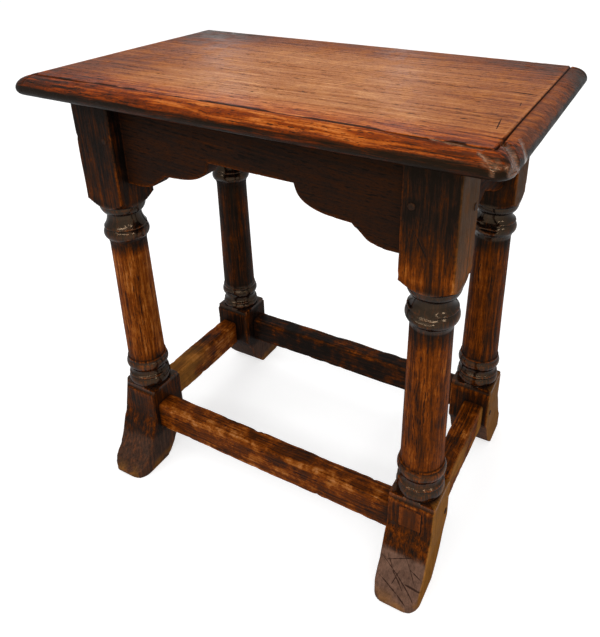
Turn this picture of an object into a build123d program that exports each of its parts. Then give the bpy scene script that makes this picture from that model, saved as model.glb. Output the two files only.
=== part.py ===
"""Joint stool: a moulded oak seat board on four turned legs, with arched rails,
low stretchers and feet that kick out to front and back, all tenoned and pegged.

Millimetres, +Z up.  X runs along the seat, -Y is the front.  The origin is on the
floor under the middle of the seat."""

from build123d import *
from math import radians, sqrt, tan
import os

# ---------------------------------------------------------------- driving sizes
total_height = 485.0

# seat board
board_length = 485.0
board_depth = 302.0
board_thick = 20.0
board_corner = 14.0         # radius of the rounded corners in plan
bead_width = 18.0           # from the quirk to the edge
bead_narrowing = 4.0        # the front bead is this much narrower at its right end
bead_drop = 1.4             # the bead stands this much below the field
bead_reach = 16.0           # width of the upper curve of the bead
bead_fall = 11.6            # height of the upper curve of the bead
under_reach = 8.0           # width of the lower curve of the bead
quirk_width = 2.4
quirk_depth = 2.8

# legs
stock = 49.0                # side of the square blocks
arris = 1.4                 # worn rounding along the blocks' corners
turned_inset = 0.1          # the lathe left every ring this much inside the stock's faces
leg_x = 176.8               # axis of each leg from the middle, along the seat
leg_y = 94.0                # axis of each leg from the middle, across the seat

# turned stretch of a leg: heights above the floor, and radii
shoulder_whole = 354.0      # where the lathe starts to cut the upper block's corners
shoulder_face = 344.6       # where the upper block's faces end
shoulder_foot = 335.5
shoulder_foot_radius = 20.6
collar_bulge = 23.5         # radius half way down the collar under the block
neck_top = 334.5
neck_narrow = 332.5         # from here the neck flares out like a trumpet
neck_radius = 18.4
small_bead_top = 322.2
small_bead_foot = 319.4
small_bead_root = 22.2
small_bead_radius = 23.0
main_bead_foot = 307.0
main_bead_root = 21.6
column_head = 301.0
column_head_radius = 19.8
column_foot = 146.0
column_foot_radius = 21.5
fillet_foot = 143.2
fillet_radius = 22.6
ring_foot = 132.0
ring_root = 22.0
lower_neck = 127.5
lower_neck_radius = 20.4
thin_bead_top = 123.6
thin_bead_foot = 120.0
thin_bead_root = 21.8
thin_bead_radius = 23.4
torus_foot = 109.2
torus_root = 22.4
cup_foot = 107.6            # bottom of the hollow cut over the lower block
lower_face = 102.6          # where the lower block's faces start
lower_whole = 108.5         # where the lower block's corners are whole

# each leg was turned by eye, so its upper and lower rings sit a little off
ring_shifts = {
    "front_left": (-2.0, 0.0),
    "back_left": (-4.0, -4.5),
    "front_right": (2.5, 2.0),
    "back_right": (3.5, -0.5),
}

# feet, measured outwards from the leg's axis
toe_reach = 63.5
toe_corner = 18.0           # radius of the toe's corners in plan
toe_top = 5.0               # height where the toe starts to turn under
toe_under = 58.0            # outer end of the flat sole
sole_back = 11.5            # inner end of the flat sole
outer_sweep_top = 75.0      # height where the outer face leaves the plumb
inner_sweep_top = 55.0      # height where the inner face leaves the plumb

# rails under the seat
rail_thick = 20.0
rail_recess = 14.0          # front and back rails behind the legs' faces
side_recess = 13.3          # side rails behind the legs' faces
rail_foot = 370.3           # lower edge of the rails where they meet the legs
arch_height = 412.5         # the flat middle of the front and back arches
arch_half = 47.0            # half the length of that flat
arch_lean = tan(radians(0.8))   # the arches fall a little to the right
cusp_height = 393.0         # middle of the side rails' lower edge

# stretchers
stretcher_tall = 35.0
stretcher_thick = 25.0
stretcher_foot = 51.5
stretcher_arris = 1.6
long_stretcher_recess = 6.0
side_stretcher_recess = 6.5

# tenons
tenon_thick = 9.0
tenon_long = 20.0
rail_tenon_top = 455.0
rail_tenon_foot = 380.0
stretcher_shoulder = 4.0    # above and below a stretcher's tenon

# pegs
peg_radius = 3.6
peg_proud = 0.8
peg_inner = 80.0            # inner end of the pegs through the front and back faces
lower_peg_inner = 84.0      # the same for the pegs of the stretchers
upper_peg_x = 162.0
upper_peg_height = 421.0
lower_peg_x = 160.0
lower_peg_height = 70.5
side_peg_y = 80.0
side_peg_inner = 168.5      # inner end of the pegs through the side faces
side_peg_height = 413.5
top_peg_radius = 3.5
top_peg_long = 42.0
top_peg_x = 189.0
top_peg_y = 84.0
front_rail_peg_x = 3.0
back_rail_peg_x = -20.0

over = 0.2                  # cuts run this far past the wood

# piece let into the front of the right front foot
patch_left = 165.0
patch_right = 188.5
patch_top = 99.0
patch_foot = 65.0
patch_deep = 4.0

# ---------------------------------------------------------------- worked-out sizes
board_under = total_height - board_thick
bead_top = total_height - bead_drop
bead_crest = bead_top - bead_fall
field_x = board_length / 2 - bead_width
field_y = board_depth / 2 - bead_width
block_half = stock / 2
ring_crest = block_half - turned_inset
block_corner = block_half * sqrt(2) + over  # radius that clears the block's corners
leg_outer_x = leg_x + block_half
leg_inner_x = leg_x - block_half
leg_outer_y = leg_y + block_half
leg_inner_y = leg_y - block_half
long_rail_y = leg_outer_y - rail_recess
side_rail_x = leg_outer_x - side_recess
long_stretcher_y = leg_outer_y - long_stretcher_recess
side_stretcher_x = leg_outer_x - side_stretcher_recess
clear = 70.0                        # radius that leaves block and foot whole

corners = {
    "front_left": (-1, -1),
    "front_right": (1, -1),
    "back_left": (-1, 1),
    "back_right": (1, 1),
}


def slab(low, high):
    """Box between two opposite corners."""
    size = [high[i] - low[i] for i in range(3)]
    middle = [(high[i] + low[i]) / 2 for i in range(3)]
    return Pos(*middle) * Box(*size)


def dowel(start, end, radius):
    """Round peg between two points."""
    axis = Vector(*end) - Vector(*start)
    plane = Plane(origin=Vector(*start), z_dir=axis.normalized())
    return extrude(plane * Circle(radius), amount=axis.length)


# ---------------------------------------------------------------- pegs
def upper_pegs(x_side, y_side):
    """The pegs of a leg's two rail tenons: through the front or back face, and the side."""
    face = y_side * (leg_outer_y + peg_proud)
    side = x_side * (leg_outer_x + peg_proud)
    x, y = x_side * upper_peg_x, y_side * side_peg_y
    long_peg = dowel((x, face, upper_peg_height), (x, y_side * peg_inner, upper_peg_height), peg_radius)
    side_peg = dowel((side, y, side_peg_height), (x_side * side_peg_inner, y, side_peg_height), peg_radius)
    return [long_peg, side_peg]


def lower_pegs(x_side, y_side):
    """The pegs of a leg's two stretcher tenons."""
    face = y_side * (leg_outer_y + peg_proud)
    side = x_side * (leg_outer_x + peg_proud)
    x, y = x_side * lower_peg_x, y_side * side_peg_y
    long_peg = dowel((x, face, lower_peg_height), (x, y_side * lower_peg_inner, lower_peg_height), peg_radius)
    side_peg = dowel((side, y, lower_peg_height), (x_side * side_peg_inner, y, lower_peg_height), peg_radius)
    return [long_peg, side_peg]


def top_pegs():
    """Pegs through the seat into the four legs and the two long rails."""
    places = [(x_side * top_peg_x, y_side * top_peg_y) for x_side, y_side in corners.values()]
    places.append((front_rail_peg_x, rail_thick / 2 - long_rail_y))
    places.append((back_rail_peg_x, long_rail_y - rail_thick / 2))
    foot = total_height - top_peg_long
    return [dowel((x, y, total_height), (x, y, foot), top_peg_radius) for x, y in places]


# ---------------------------------------------------------------- seat board
def edge_section(half, plane, length):
    """The board's section with a bead at both edges, extruded along the board."""
    inner = half - bead_reach
    under = half - under_reach
    fall = bead_crest - board_under
    edges = [Line((-inner, bead_top), (inner, bead_top))]
    edges.append(EllipticalCenterArc((inner, bead_crest), bead_reach, bead_fall, 0))
    edges.append(EllipticalCenterArc((under, bead_crest), under_reach, fall, 270))
    edges.append(Line((-under, board_under), (under, board_under)))
    edges.append(EllipticalCenterArc((-under, bead_crest), under_reach, fall, 180))
    edges.append(EllipticalCenterArc((-inner, bead_crest), bead_reach, bead_fall, 90))
    return extrude(plane * make_face(edges), amount=length / 2, both=True)


def quirk(start, end):
    """V-shaped groove along a straight line on the seat."""
    along = Vector(*end) - Vector(*start)
    plane = Plane(origin=Vector(*start), x_dir=(along.Y, -along.X, 0), z_dir=along.normalized())
    half = quirk_width / 2
    section = Polyline((-half, over), (-half, 0), (0, -quirk_depth), (half, 0), (half, over), close=True)
    return extrude(plane * make_face(section), amount=along.length)


def make_board():
    """Seat board: a raised flat field inside a quirk and a thumb-moulded edge."""
    board = edge_section(board_depth / 2, Plane.YZ, board_length)
    board &= edge_section(board_length / 2, Plane.XZ, board_depth)
    outline = RectangleRounded(board_length, board_depth, board_corner)
    board &= extrude(Pos(0, 0, board_under) * outline, amount=board_thick)
    front_right_y = -field_y - bead_narrowing
    field = Polyline(
        (-field_x, -field_y),
        (field_x, front_right_y),
        (field_x, field_y),
        (-field_x, field_y),
        close=True,
    )
    board += extrude(Pos(0, 0, bead_crest) * make_face(field), amount=total_height - bead_crest)
    past = bead_width + over
    run_out = past * bead_narrowing / (2 * field_x)
    quirk_lines = [
        (-field_x - past, -field_y + run_out, field_x + past, front_right_y - run_out),
        (-field_x - past, field_y, field_x + past, field_y),
        (-field_x, -field_y - past, -field_x, field_y + past),
        (field_x, -field_y - past, field_x, field_y + past),
    ]
    for x0, y0, x1, y1 in quirk_lines:
        board -= quirk((x0, y0, total_height), (x1, y1, total_height))
    for peg in top_pegs():
        board -= peg
    return board


# ---------------------------------------------------------------- rails
def long_rail_face():
    """Front or back rail's face: flat middle, then two convex lobes each way."""
    inner_lobe = [(arch_half, 2.5), (53, 13.5), (61, 18.5), (73, 22.2), (90, 24.2), (103, 24.9)]
    outer_lobe = [(105, 27.5), (111.5, 32), (117, 37), (125, 40.3), (135, arch_height - rail_foot)]
    edges = [Line((-leg_inner_x, board_under), (leg_inner_x, board_under))]

    def at(x, drop):
        return (x, arch_height - drop - arch_lean * x)

    edges.append(Line(at(-arch_half, 0), at(arch_half, 0)))
    for side in (-1, 1):
        inner = [at(side * x, drop) for x, drop in inner_lobe]
        outer = [at(side * x, drop) for x, drop in outer_lobe]
        end = at(side * leg_inner_x, arch_height - rail_foot)
        edges.append(Line(at(side * arch_half, 0), inner[0]))
        edges.append(Spline(*inner))
        edges.append(Line(inner[-1], outer[0]))
        edges.append(Spline(*outer))
        edges.append(Polyline(outer[-1], end, (side * leg_inner_x, board_under)))
    return make_face(edges)


def make_long_rail(y_side):
    """Front (-1) or back (+1) rail with its two tenons."""
    outer = y_side * long_rail_y
    inner = y_side * (long_rail_y - rail_thick)
    rail = Pos(0, max(outer, inner), 0) * extrude(Plane.XZ * long_rail_face(), amount=rail_thick)
    middle = (outer + inner) / 2
    for x_side in (-1, 1):
        shoulder, end = sorted((x_side * leg_inner_x, x_side * (leg_inner_x + tenon_long)))
        rail += slab(
            (shoulder, middle - tenon_thick / 2, rail_tenon_foot),
            (end, middle + tenon_thick / 2, rail_tenon_top),
        )
        rail -= upper_pegs(x_side, y_side)[0]
    for peg in top_pegs():
        rail -= peg
    return rail


def side_rail_face():
    """Side rail's face: two convex lobes that meet in a cusp at the middle."""
    lobe = [(0, 0), (10, 4), (25, 9.5), (35, 14.2), (46, 17.9), (60, 21.2)]
    edges = [Line((-leg_inner_y, board_under), (leg_inner_y, board_under))]
    for side in (-1, 1):
        points = [(side * d, cusp_height - drop) for d, drop in lobe]
        points.append((side * leg_inner_y, rail_foot))
        edges.append(Spline(*points))
        edges.append(Line(points[-1], (side * leg_inner_y, board_under)))
    return make_face(edges)


def make_side_rail(x_side):
    """Left (-1) or right (+1) rail with its two tenons."""
    outer = x_side * side_rail_x
    inner = x_side * (side_rail_x - rail_thick)
    rail = Pos(min(outer, inner), 0, 0) * extrude(Plane.YZ * side_rail_face(), amount=rail_thick)
    middle = (outer + inner) / 2
    for y_side in (-1, 1):
        shoulder, end = sorted((y_side * leg_inner_y, y_side * (leg_inner_y + tenon_long)))
        rail += slab(
            (middle - tenon_thick / 2, shoulder, rail_tenon_foot),
            (middle + tenon_thick / 2, end, rail_tenon_top),
        )
        rail -= upper_pegs(x_side, y_side)[1]
    return rail


# ---------------------------------------------------------------- stretchers
def make_stretcher(long_way, side):
    """Stretcher with worn arrises and two tenons, along X or along Y, on one side."""
    half = leg_inner_x if long_way else leg_inner_y
    recessed = long_stretcher_y if long_way else side_stretcher_x
    middle = side * (recessed - stretcher_thick / 2)
    bar = RectangleRounded(stretcher_thick, stretcher_tall, stretcher_arris)
    bar = extrude(Plane.YZ * bar, amount=half, both=True)
    tenon = Box(2 * (half + tenon_long), tenon_thick, stretcher_tall - 2 * stretcher_shoulder)
    height = stretcher_foot + stretcher_tall / 2
    turn = Rot(0, 0, 0 if long_way else 90)
    place = Pos(0, middle, height) if long_way else Pos(middle, 0, height)
    stretcher = place * turn * (bar + tenon)
    for end in (-1, 1):
        pegs = lower_pegs(end, side) if long_way else lower_pegs(side, end)
        stretcher -= pegs[0 if long_way else 1]
    return stretcher


# ---------------------------------------------------------------- legs
def bead(top, foot, root, crest):
    """Half-round ring on the turned outline, from its top to its foot."""
    return ThreePointArc((root, top), (crest, (top + foot) / 2), (root, foot))


def leg_envelope(upper, lower):
    """Turned space that a leg is left in, its rings moved by two small amounts."""
    head = column_head + upper
    foot = column_foot + lower
    bead_top_at = small_bead_top + upper
    top, foot_end = board_under + over, -over
    edges = [Polyline((0, top), (clear, top), (clear, shoulder_whole))]
    edges.append(Line((clear, shoulder_whole), (block_corner, shoulder_whole)))
    edges.append(Spline((block_corner, shoulder_whole), (29.0, 348.5), (ring_crest, shoulder_face)))
    edges.append(ThreePointArc(
        (ring_crest, shoulder_face),
        (collar_bulge, (shoulder_face + shoulder_foot) / 2),
        (shoulder_foot_radius, shoulder_foot),
    ))
    edges.append(Polyline(
        (shoulder_foot_radius, shoulder_foot),
        (neck_radius, neck_top),
        (neck_radius, neck_narrow),
    ))
    edges.append(TangentArc(
        (neck_radius, neck_narrow), (small_bead_root, bead_top_at), tangent=(0, -1)
    ))
    edges.append(bead(bead_top_at, small_bead_foot + upper, small_bead_root, small_bead_radius))
    edges.append(Line((small_bead_root, small_bead_foot + upper), (main_bead_root, small_bead_foot + upper)))
    edges.append(bead(small_bead_foot + upper, main_bead_foot + upper, main_bead_root, ring_crest))
    edges.append(Polyline(
        (main_bead_root, main_bead_foot + upper),
        (column_head_radius + 1, main_bead_foot + upper - 1.5),
        (column_head_radius, head),
        (column_foot_radius, foot),
        (fillet_radius, foot),
        (fillet_radius, fillet_foot + lower),
        (ring_root, fillet_foot + lower),
    ))
    edges.append(bead(fillet_foot + lower, ring_foot + lower, ring_root, ring_crest))
    edges.append(ThreePointArc(
        (ring_root, ring_foot + lower),
        (lower_neck_radius, lower_neck + lower),
        (thin_bead_root, thin_bead_top + lower),
    ))
    edges.append(bead(thin_bead_top + lower, thin_bead_foot + lower, thin_bead_root, thin_bead_radius))
    edges.append(Line((thin_bead_root, thin_bead_foot + lower), (torus_root, thin_bead_foot + lower)))
    edges.append(bead(thin_bead_foot + lower, torus_foot, torus_root, ring_crest))
    edges.append(Line((torus_root, torus_foot), (torus_root, cup_foot)))
    edges.append(Spline(
        (torus_root, cup_foot),
        (block_half, lower_face),
        (29.0, 104.0),
        (block_corner, lower_whole),
    ))
    edges.append(Polyline(
        (block_corner, lower_whole),
        (clear, lower_whole),
        (clear, foot_end),
        (0, foot_end),
        (0, top),
    ))
    return revolve(Plane.XZ * make_face(edges), Axis.Z)


def foot_blank():
    """Lower block and foot about the leg's axis, kicked out towards +Y."""
    side_view = [
        Polyline((-block_half, inner_sweep_top), (-block_half, lower_whole), (block_half, lower_whole)),
        Line((block_half, lower_whole), (block_half, outer_sweep_top)),
        Spline(
            (block_half, outer_sweep_top),
            (29.5, 60.0),
            (36.5, 40.0),
            (45.0, 24.0),
            (54.0, 13.6),
            (60.6, 9.0),
            (toe_reach, toe_top),
            tangents=((0, -1), (0, -1)),
        ),
        EllipticalCenterArc((toe_under, toe_top), toe_reach - toe_under, toe_top, 270),
        Line((toe_under, 0), (sole_back, 0)),
        Spline(
            (sole_back, 0),
            (2.0, 9.5),
            (-8.0, 24.0),
            (-15.0, 42.0),
            (-block_half, inner_sweep_top),
        ),
    ]
    side = extrude(Plane.YZ * make_face(side_view), amount=block_half, both=True)
    length = toe_reach + block_half
    plan = Pos(0, length / 2 - block_half) * Rectangle(stock, length)
    plan = fillet(plan.vertices().group_by(Axis.Y)[-1], toe_corner)
    plan = fillet(plan.vertices().group_by(Axis.Y)[0], arris)
    return side & extrude(plan, amount=lower_whole)


def make_leg(name):
    """One leg: square blocks, turned column and kicked foot, with mortises and peg holes."""
    x_side, y_side = corners[name]
    block = RectangleRounded(stock, stock, arris)
    blank = extrude(Pos(0, 0, outer_sweep_top) * block, amount=board_under - outer_sweep_top)
    blank += foot_blank()
    leg = blank & leg_envelope(*ring_shifts[name])
    leg = Pos(x_side * leg_x, y_side * leg_y, 0) * (leg if y_side > 0 else Rot(0, 0, 180) * leg)
    leg -= make_long_rail(y_side)
    leg -= make_side_rail(x_side)
    leg -= make_stretcher(True, y_side)
    leg -= make_stretcher(False, x_side)
    for peg in upper_pegs(x_side, y_side) + lower_pegs(x_side, y_side) + top_pegs():
        leg -= peg
    if name == "front_right":
        leg -= make_patch()
    return leg


def make_patch():
    """Thin block let into the front face of the right front foot."""
    front = -leg_outer_y
    return slab((patch_left, front, patch_foot), (patch_right, front + patch_deep, patch_top))


# ---------------------------------------------------------------- the whole stool
os.makedirs("parts", exist_ok=True)

pieces = {
    "seat_board": make_board(),
    "front_rail": make_long_rail(-1),
    "back_rail": make_long_rail(1),
    "left_rail": make_side_rail(-1),
    "right_rail": make_side_rail(1),
    "front_stretcher": make_stretcher(True, -1),
    "back_stretcher": make_stretcher(True, 1),
    "left_stretcher": make_stretcher(False, -1),
    "right_stretcher": make_stretcher(False, 1),
    "repair_patch": make_patch(),
    "seat_pegs": Compound(children=top_pegs()),
}
for corner, (x_side, y_side) in corners.items():
    pieces["leg_" + corner] = make_leg(corner)
    pieces["upper_pegs_" + corner] = Compound(children=upper_pegs(x_side, y_side))
    pieces["lower_pegs_" + corner] = Compound(children=lower_pegs(x_side, y_side))

for node, piece in pieces.items():
    export_step(piece, f"parts/{node}.step")
    print(node, round(piece.volume), "mm3")
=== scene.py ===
# Joint stool in old waxed oak.  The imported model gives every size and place; the
# pieces made here are the same legs, rails, stretchers and seat as they look after
# three hundred years of feet, dusters and dropped tools.  Metres, +Z up, -Y the front.

from math import cos, pi, radians, sin, sqrt

import bpy
import bmesh
import numpy as np
from mathutils import Matrix, Vector, noise
from mathutils.bvhtree import BVHTree


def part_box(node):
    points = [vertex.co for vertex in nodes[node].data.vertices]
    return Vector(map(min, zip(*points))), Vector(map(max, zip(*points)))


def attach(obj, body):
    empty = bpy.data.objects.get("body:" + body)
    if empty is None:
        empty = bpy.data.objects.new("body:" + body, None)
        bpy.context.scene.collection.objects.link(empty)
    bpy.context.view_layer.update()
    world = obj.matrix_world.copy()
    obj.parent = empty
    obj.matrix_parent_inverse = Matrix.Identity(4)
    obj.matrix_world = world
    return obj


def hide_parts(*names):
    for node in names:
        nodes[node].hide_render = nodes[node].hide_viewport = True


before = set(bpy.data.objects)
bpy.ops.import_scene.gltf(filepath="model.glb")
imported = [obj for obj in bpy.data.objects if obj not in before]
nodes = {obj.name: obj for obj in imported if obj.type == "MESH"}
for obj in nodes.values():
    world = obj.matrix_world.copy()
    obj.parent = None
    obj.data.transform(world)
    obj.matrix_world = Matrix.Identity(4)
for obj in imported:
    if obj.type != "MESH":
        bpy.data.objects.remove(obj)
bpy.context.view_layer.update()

MM = 0.001
X, Y, Z = 0, 1, 2                   # axes, as places count them
# each leg's side of the stool: -1 left or 1 right, and -1 front or 1 back
corners = {
    "front_left": (-1, -1),
    "front_right": (1, -1),
    "back_left": (-1, 1),
    "back_right": (1, 1),
}
board_low, board_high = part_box("seat_board")


# ================================================================ sums on points
def rise(value, low, high):
    """0 below low, 1 above high, and a smooth climb between them."""
    share = np.clip((value - low) / (high - low), 0, 1)
    return share * share * (3 - 2 * share)


def hills(points, size, seed):
    """Smooth random heights between 0 and 1 at the points, in hills about size across."""
    shift = Vector((seed * 3.17, seed * 7.31, seed * 1.73))
    heights = [noise.noise(Vector(p) / size + shift) for p in points.reshape(-1, 3)]
    return 0.5 + 0.5 * np.array(heights).reshape(points.shape[:-1])


def wave(places, size, seed):
    """Smooth random numbers between 0 and 1 along a line."""
    line = np.zeros((len(places), 3))
    line[:, 0] = places
    return hills(line, size, seed)


def slice_off(points, out, limit):
    """Points beyond the plane out . p = limit drop onto it."""
    out = np.array(out, float)
    out /= np.linalg.norm(out)
    beyond = np.maximum(points @ out - limit, 0)
    points -= beyond[..., None] * out


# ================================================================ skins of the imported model
def skin(node):
    """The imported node's surface, ready to be met by lines."""
    mesh = nodes[node].data
    places = [v.co for v in mesh.vertices]
    return BVHTree.FromPolygons(places, [p.vertices for p in mesh.polygons])


def meet(surface, start, aim):
    """The place where a line first meets a surface, or None."""
    return surface.ray_cast(Vector(start), Vector(aim))[0]


skins = {name: skin(name) for name in nodes}


# ================================================================ making meshes
weld = 0.004 * MM                   # points nearer than this become one
shortest_edge = 0.002 * MM
sharp_from = radians(52)            # an edge that turns more than this is an arris
end_shares = (0.72, 0.4)            # how far out the two rings inside a bar's end lie


def build(name, points, faces):
    """A mesh object from points and faces, its faces turned outwards."""
    mesh = bpy.data.meshes.new(name)
    mesh.from_pydata(points.reshape(-1, 3).tolist(), [], faces)
    piece = bpy.data.objects.new(name, mesh)
    bpy.context.scene.collection.objects.link(piece)
    work = bmesh.new()
    work.from_mesh(mesh)
    bmesh.ops.remove_doubles(work, verts=work.verts, dist=weld)
    bmesh.ops.dissolve_degenerate(work, edges=work.edges, dist=shortest_edge)
    bmesh.ops.recalc_face_normals(work, faces=work.faces)
    work.to_mesh(mesh)
    work.free()
    mesh.shade_smooth()
    mesh.set_sharp_from_angle(angle=sharp_from)
    return piece


def loft_faces(stations, around, first=0, closed=True):
    """Quads between neighbouring rings of points."""
    ring = np.arange(around if closed else around - 1)
    after = (ring + 1) % around
    faces = []
    for k in range(stations - 1):
        low = first + k * around
        high = low + around
        faces += np.stack((low + ring, low + after, high + after, high + ring), 1).tolist()
    return faces


def loft(rings, first=0):
    """Points and faces of a closed bar through rings, each end drawn in to a middle point."""
    stations, around, _ = rings.shape
    points = [rings.reshape(-1, 3)]
    faces = loft_faces(stations, around, first)
    count = first + stations * around
    for end, edge_at in ((0, first), (-1, first + (stations - 1) * around)):
        edge, middle = rings[end], rings[end].mean(0)
        before = np.arange(around) + edge_at
        for share in end_shares:
            points.append(middle + (edge - middle) * share)
            inner = np.arange(around) + count
            faces += np.stack((before, np.roll(before, -1), np.roll(inner, -1), inner), 1).tolist()
            before = inner
            count += around
        points.append(middle[None])
        faces += [(int(a), int(b), count) for a, b in zip(before, np.roll(before, -1))]
        count += 1
    return np.concatenate(points), faces


def block(low, high, first=0):
    """Points and faces of a plain block, for a hidden tenon."""
    low, high = np.array(low), np.array(high)
    points = np.array([[(low, high)[(i >> a) & 1][a] for a in range(3)] for i in range(8)])
    quads = ((0, 1, 3, 2), (4, 5, 7, 6), (0, 1, 5, 4), (2, 3, 7, 6), (0, 2, 6, 4), (1, 3, 7, 5))
    return points, [tuple(first + i for i in quad) for quad in quads]


def rounded_rings(half_u, half_v, radii, side_points, corner_points):
    """Points round rectangles with rounded corners, one ring for each pair of half sizes.

    radii holds four numbers for each ring, for the corners (+ +), (- +), (- -) and (+ -)."""
    turn = np.linspace(0, pi / 2, corner_points)
    arcs = []
    for i, (u_side, v_side) in enumerate(((1, 1), (-1, 1), (-1, -1), (1, -1))):
        radius = radii[:, i:i + 1]
        u = u_side * (half_u[:, None] - radius) + radius * np.cos(turn + i * pi / 2)
        v = v_side * (half_v[:, None] - radius) + radius * np.sin(turn + i * pi / 2)
        arcs.append(np.stack((u, v), 2))
    share = (np.arange(side_points) + 1) / (side_points + 1)
    rings = []
    for i in range(4):
        start, end = arcs[i][:, -1:], arcs[(i + 1) % 4][:, :1]
        rings += [arcs[i], start + (end - start) * share[None, :, None]]
    return np.concatenate(rings, 1)


# ================================================================ age and wear on a mesh
def places_of(mesh):
    """A mesh's points and their outward directions."""
    points = np.empty(len(mesh.vertices) * 3)
    outward = np.empty(len(mesh.vertices) * 3)
    mesh.vertices.foreach_get("co", points)
    mesh.vertices.foreach_get("normal", outward)
    return points.reshape(-1, 3), outward.reshape(-1, 3)


def weather(piece, seed, ripples, dents):
    """Sinks a surface a little: ripples are (size, depth) pairs, dents (count, radius, depth).

    The dents differ: each has 0.6 to 1.5 of the radius and 0.4 to 1 of the depth."""
    mesh = piece.data
    points, outward = places_of(mesh)
    sink = np.zeros(len(points))
    for i, (size, depth) in enumerate(ripples):
        sink += depth * hills(points, size, seed + i * 0.37)
    pick = np.random.default_rng(seed)
    for count, radius, depth in dents:
        for place in pick.integers(len(points), size=count):
            wide = radius * pick.uniform(0.6, 1.5)
            near = np.linalg.norm(points - points[place], axis=1) / wide
            sink += depth * pick.uniform(0.4, 1.0) * np.clip(1 - near ** 2, 0, 1) ** 2
    points -= outward * sink[:, None]
    mesh.vertices.foreach_set("co", points.ravel())
    mesh.update()


def bends(mesh, spread):
    """How sharply the surface bends at each vertex, per metre: above 0 on arrises, below in hollows."""
    points, outward = places_of(mesh)
    ends = np.empty(len(mesh.edges) * 2, np.int32)
    mesh.edges.foreach_get("vertices", ends)
    a, b = ends[0::2], ends[1::2]
    step = points[b] - points[a]
    turn = ((outward[b] - outward[a]) * step).sum(1) / np.maximum((step ** 2).sum(1), 1e-10)
    count = len(points)
    shares = np.maximum(np.bincount(a, minlength=count) + np.bincount(b, minlength=count), 1)
    bend = (np.bincount(a, turn, count) + np.bincount(b, turn, count)) / shares
    for _ in range(spread):
        around = np.bincount(a, bend[b], count) + np.bincount(b, bend[a], count)
        bend = 0.5 * bend + 0.5 * around / shares
    return bend


def nearness(points, own, reach):
    """1 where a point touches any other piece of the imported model, fading to 0 over reach."""
    far = 4 * reach                 # beyond this a neighbour leaves hardly any trace
    closest = np.full(len(points), 1.0)
    for name, surface in skins.items():
        if name == own or "pegs" in name or "patch" in name + own:
            continue
        low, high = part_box(name)
        clear = np.maximum(np.array(low) - points, points - np.array(high)).max(1)
        for i in np.flatnonzero(clear < far):
            found = surface.find_nearest(Vector(points[i]), far)
            if found[3] is not None:
                closest[i] = min(closest[i], found[3])
    return np.exp(-closest / reach)


def note(mesh, name, values):
    """Keeps one number or one vector for each vertex, for the finishes to read."""
    vector = values.ndim == 2
    layer = mesh.attributes.new(name, "FLOAT_VECTOR" if vector else "FLOAT", "POINT")
    layer.data.foreach_set("vector" if vector else "value", values.astype(np.float32).ravel())


def nowhere(points):
    """The mask of something that a piece doesn't have."""
    return np.zeros(len(points))


sharpest_arris = 190                # bend, per metre, of an arris that is worn all the way
deepest_hollow = 160
seam_reach = 3.5 * MM


def age(piece, node, along, seed, tone, bare=nowhere, raw=nowhere, warm=nowhere, turned=nowhere,
        golden=nowhere, tilt=0.0):
    """Notes wear, the hollows and seams that take dirt and painted shade, the run of the grain and the
    colour of a finished piece.

    along is the axis that the grain runs along, and tilt is how far it leans.  tone goes
    from 0, black with old polish or painted shade, to 1, pale tan.  bare is where the polish is gone,
    raw where wood broke away, warm where the polish is thick and orange, turned where rings
    from the lathe are polished bright, and the pale gold mask is painted light from the right
    on right-hand faces, with pale wear on the toes and a pale near end on the left stretcher."""
    mesh = piece.data
    points, _ = places_of(mesh)
    bend = bends(mesh, 2)
    note(mesh, "worn", np.clip(bend / sharpest_arris, 0, 1))
    note(mesh, "hollow", np.clip(-bend / deepest_hollow, 0, 1))
    note(mesh, "seam", nearness(points, node, seam_reach))
    across = [axis for axis in range(3) if axis != along]
    pick = np.random.default_rng(seed)
    run = np.stack((points[:, across[0]], points[:, across[1]], points[:, along]), 1)
    run[:, 1] += tilt * run[:, 2]
    note(mesh, "grain", run + pick.uniform(0.5, 3.0, 3))
    masks = {"tone": tone, "bare": bare, "raw": raw, "warm": warm, "turned": turned, "golden": golden}
    for name, mask in masks.items():
        note(mesh, name, mask(points))


def place(piece, slot, *replaced):
    """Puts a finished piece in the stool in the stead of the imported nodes."""
    piece.data.materials.append(finishes[slot])
    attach(piece, "root")
    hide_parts(*replaced)


# ================================================================ legs
leg_low, leg_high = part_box("leg_front_left")
leg_half = (leg_high.x - leg_low.x) / 2
leg_high_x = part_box("leg_front_right")[1].x
beside_mortise = 4 * MM             # a line this far inwards from the axis misses every mortise
above_sole = 0.2 * MM               # a line along the floor itself would miss the foot
outside_leg = 0.12                  # a line towards a leg's axis starts this far from it
toe_corner = 18 * MM
toe_reach = leg_high.y - leg_half - leg_low.y
turned_limit = 33.5 * MM            # beyond this radius a leg's section is the square stock
square_radius = 1.0                 # stands for a level where the lathe didn't reach
break_out = 0.35 * MM               # how soft the lathe's cut is where it breaks out of a face
ring_gap = 0.6 * MM                 # between rings of points over the turnings
plain_gap = 3.5 * MM
nicks = 5                           # in every worn arris
turnings = ((0 * MM, 14 * MM), (99 * MM, 151 * MM), (296 * MM, 361 * MM))
# the chip out of the front left leg's lower block: direction out, heights, and a spot on it
# from the block's outer front arris
chip_out = (-0.72, -0.69, 0.16)
chip_low, chip_high = 60 * MM, 109 * MM
chip_in, chip_back, chip_level = 4.2 * MM, 3.0 * MM, 100 * MM


def leg_levels():
    """Heights of a leg's rings of points, close together over the turnings and the toe."""
    top = board_low.z
    levels = [0.0]
    while levels[-1] < top - ring_gap:
        close = any(low <= levels[-1] < high for low, high in turnings)
        levels.append(levels[-1] + (ring_gap if close else plain_gap))
    levels[-1] = top
    return np.array(levels)


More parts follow.
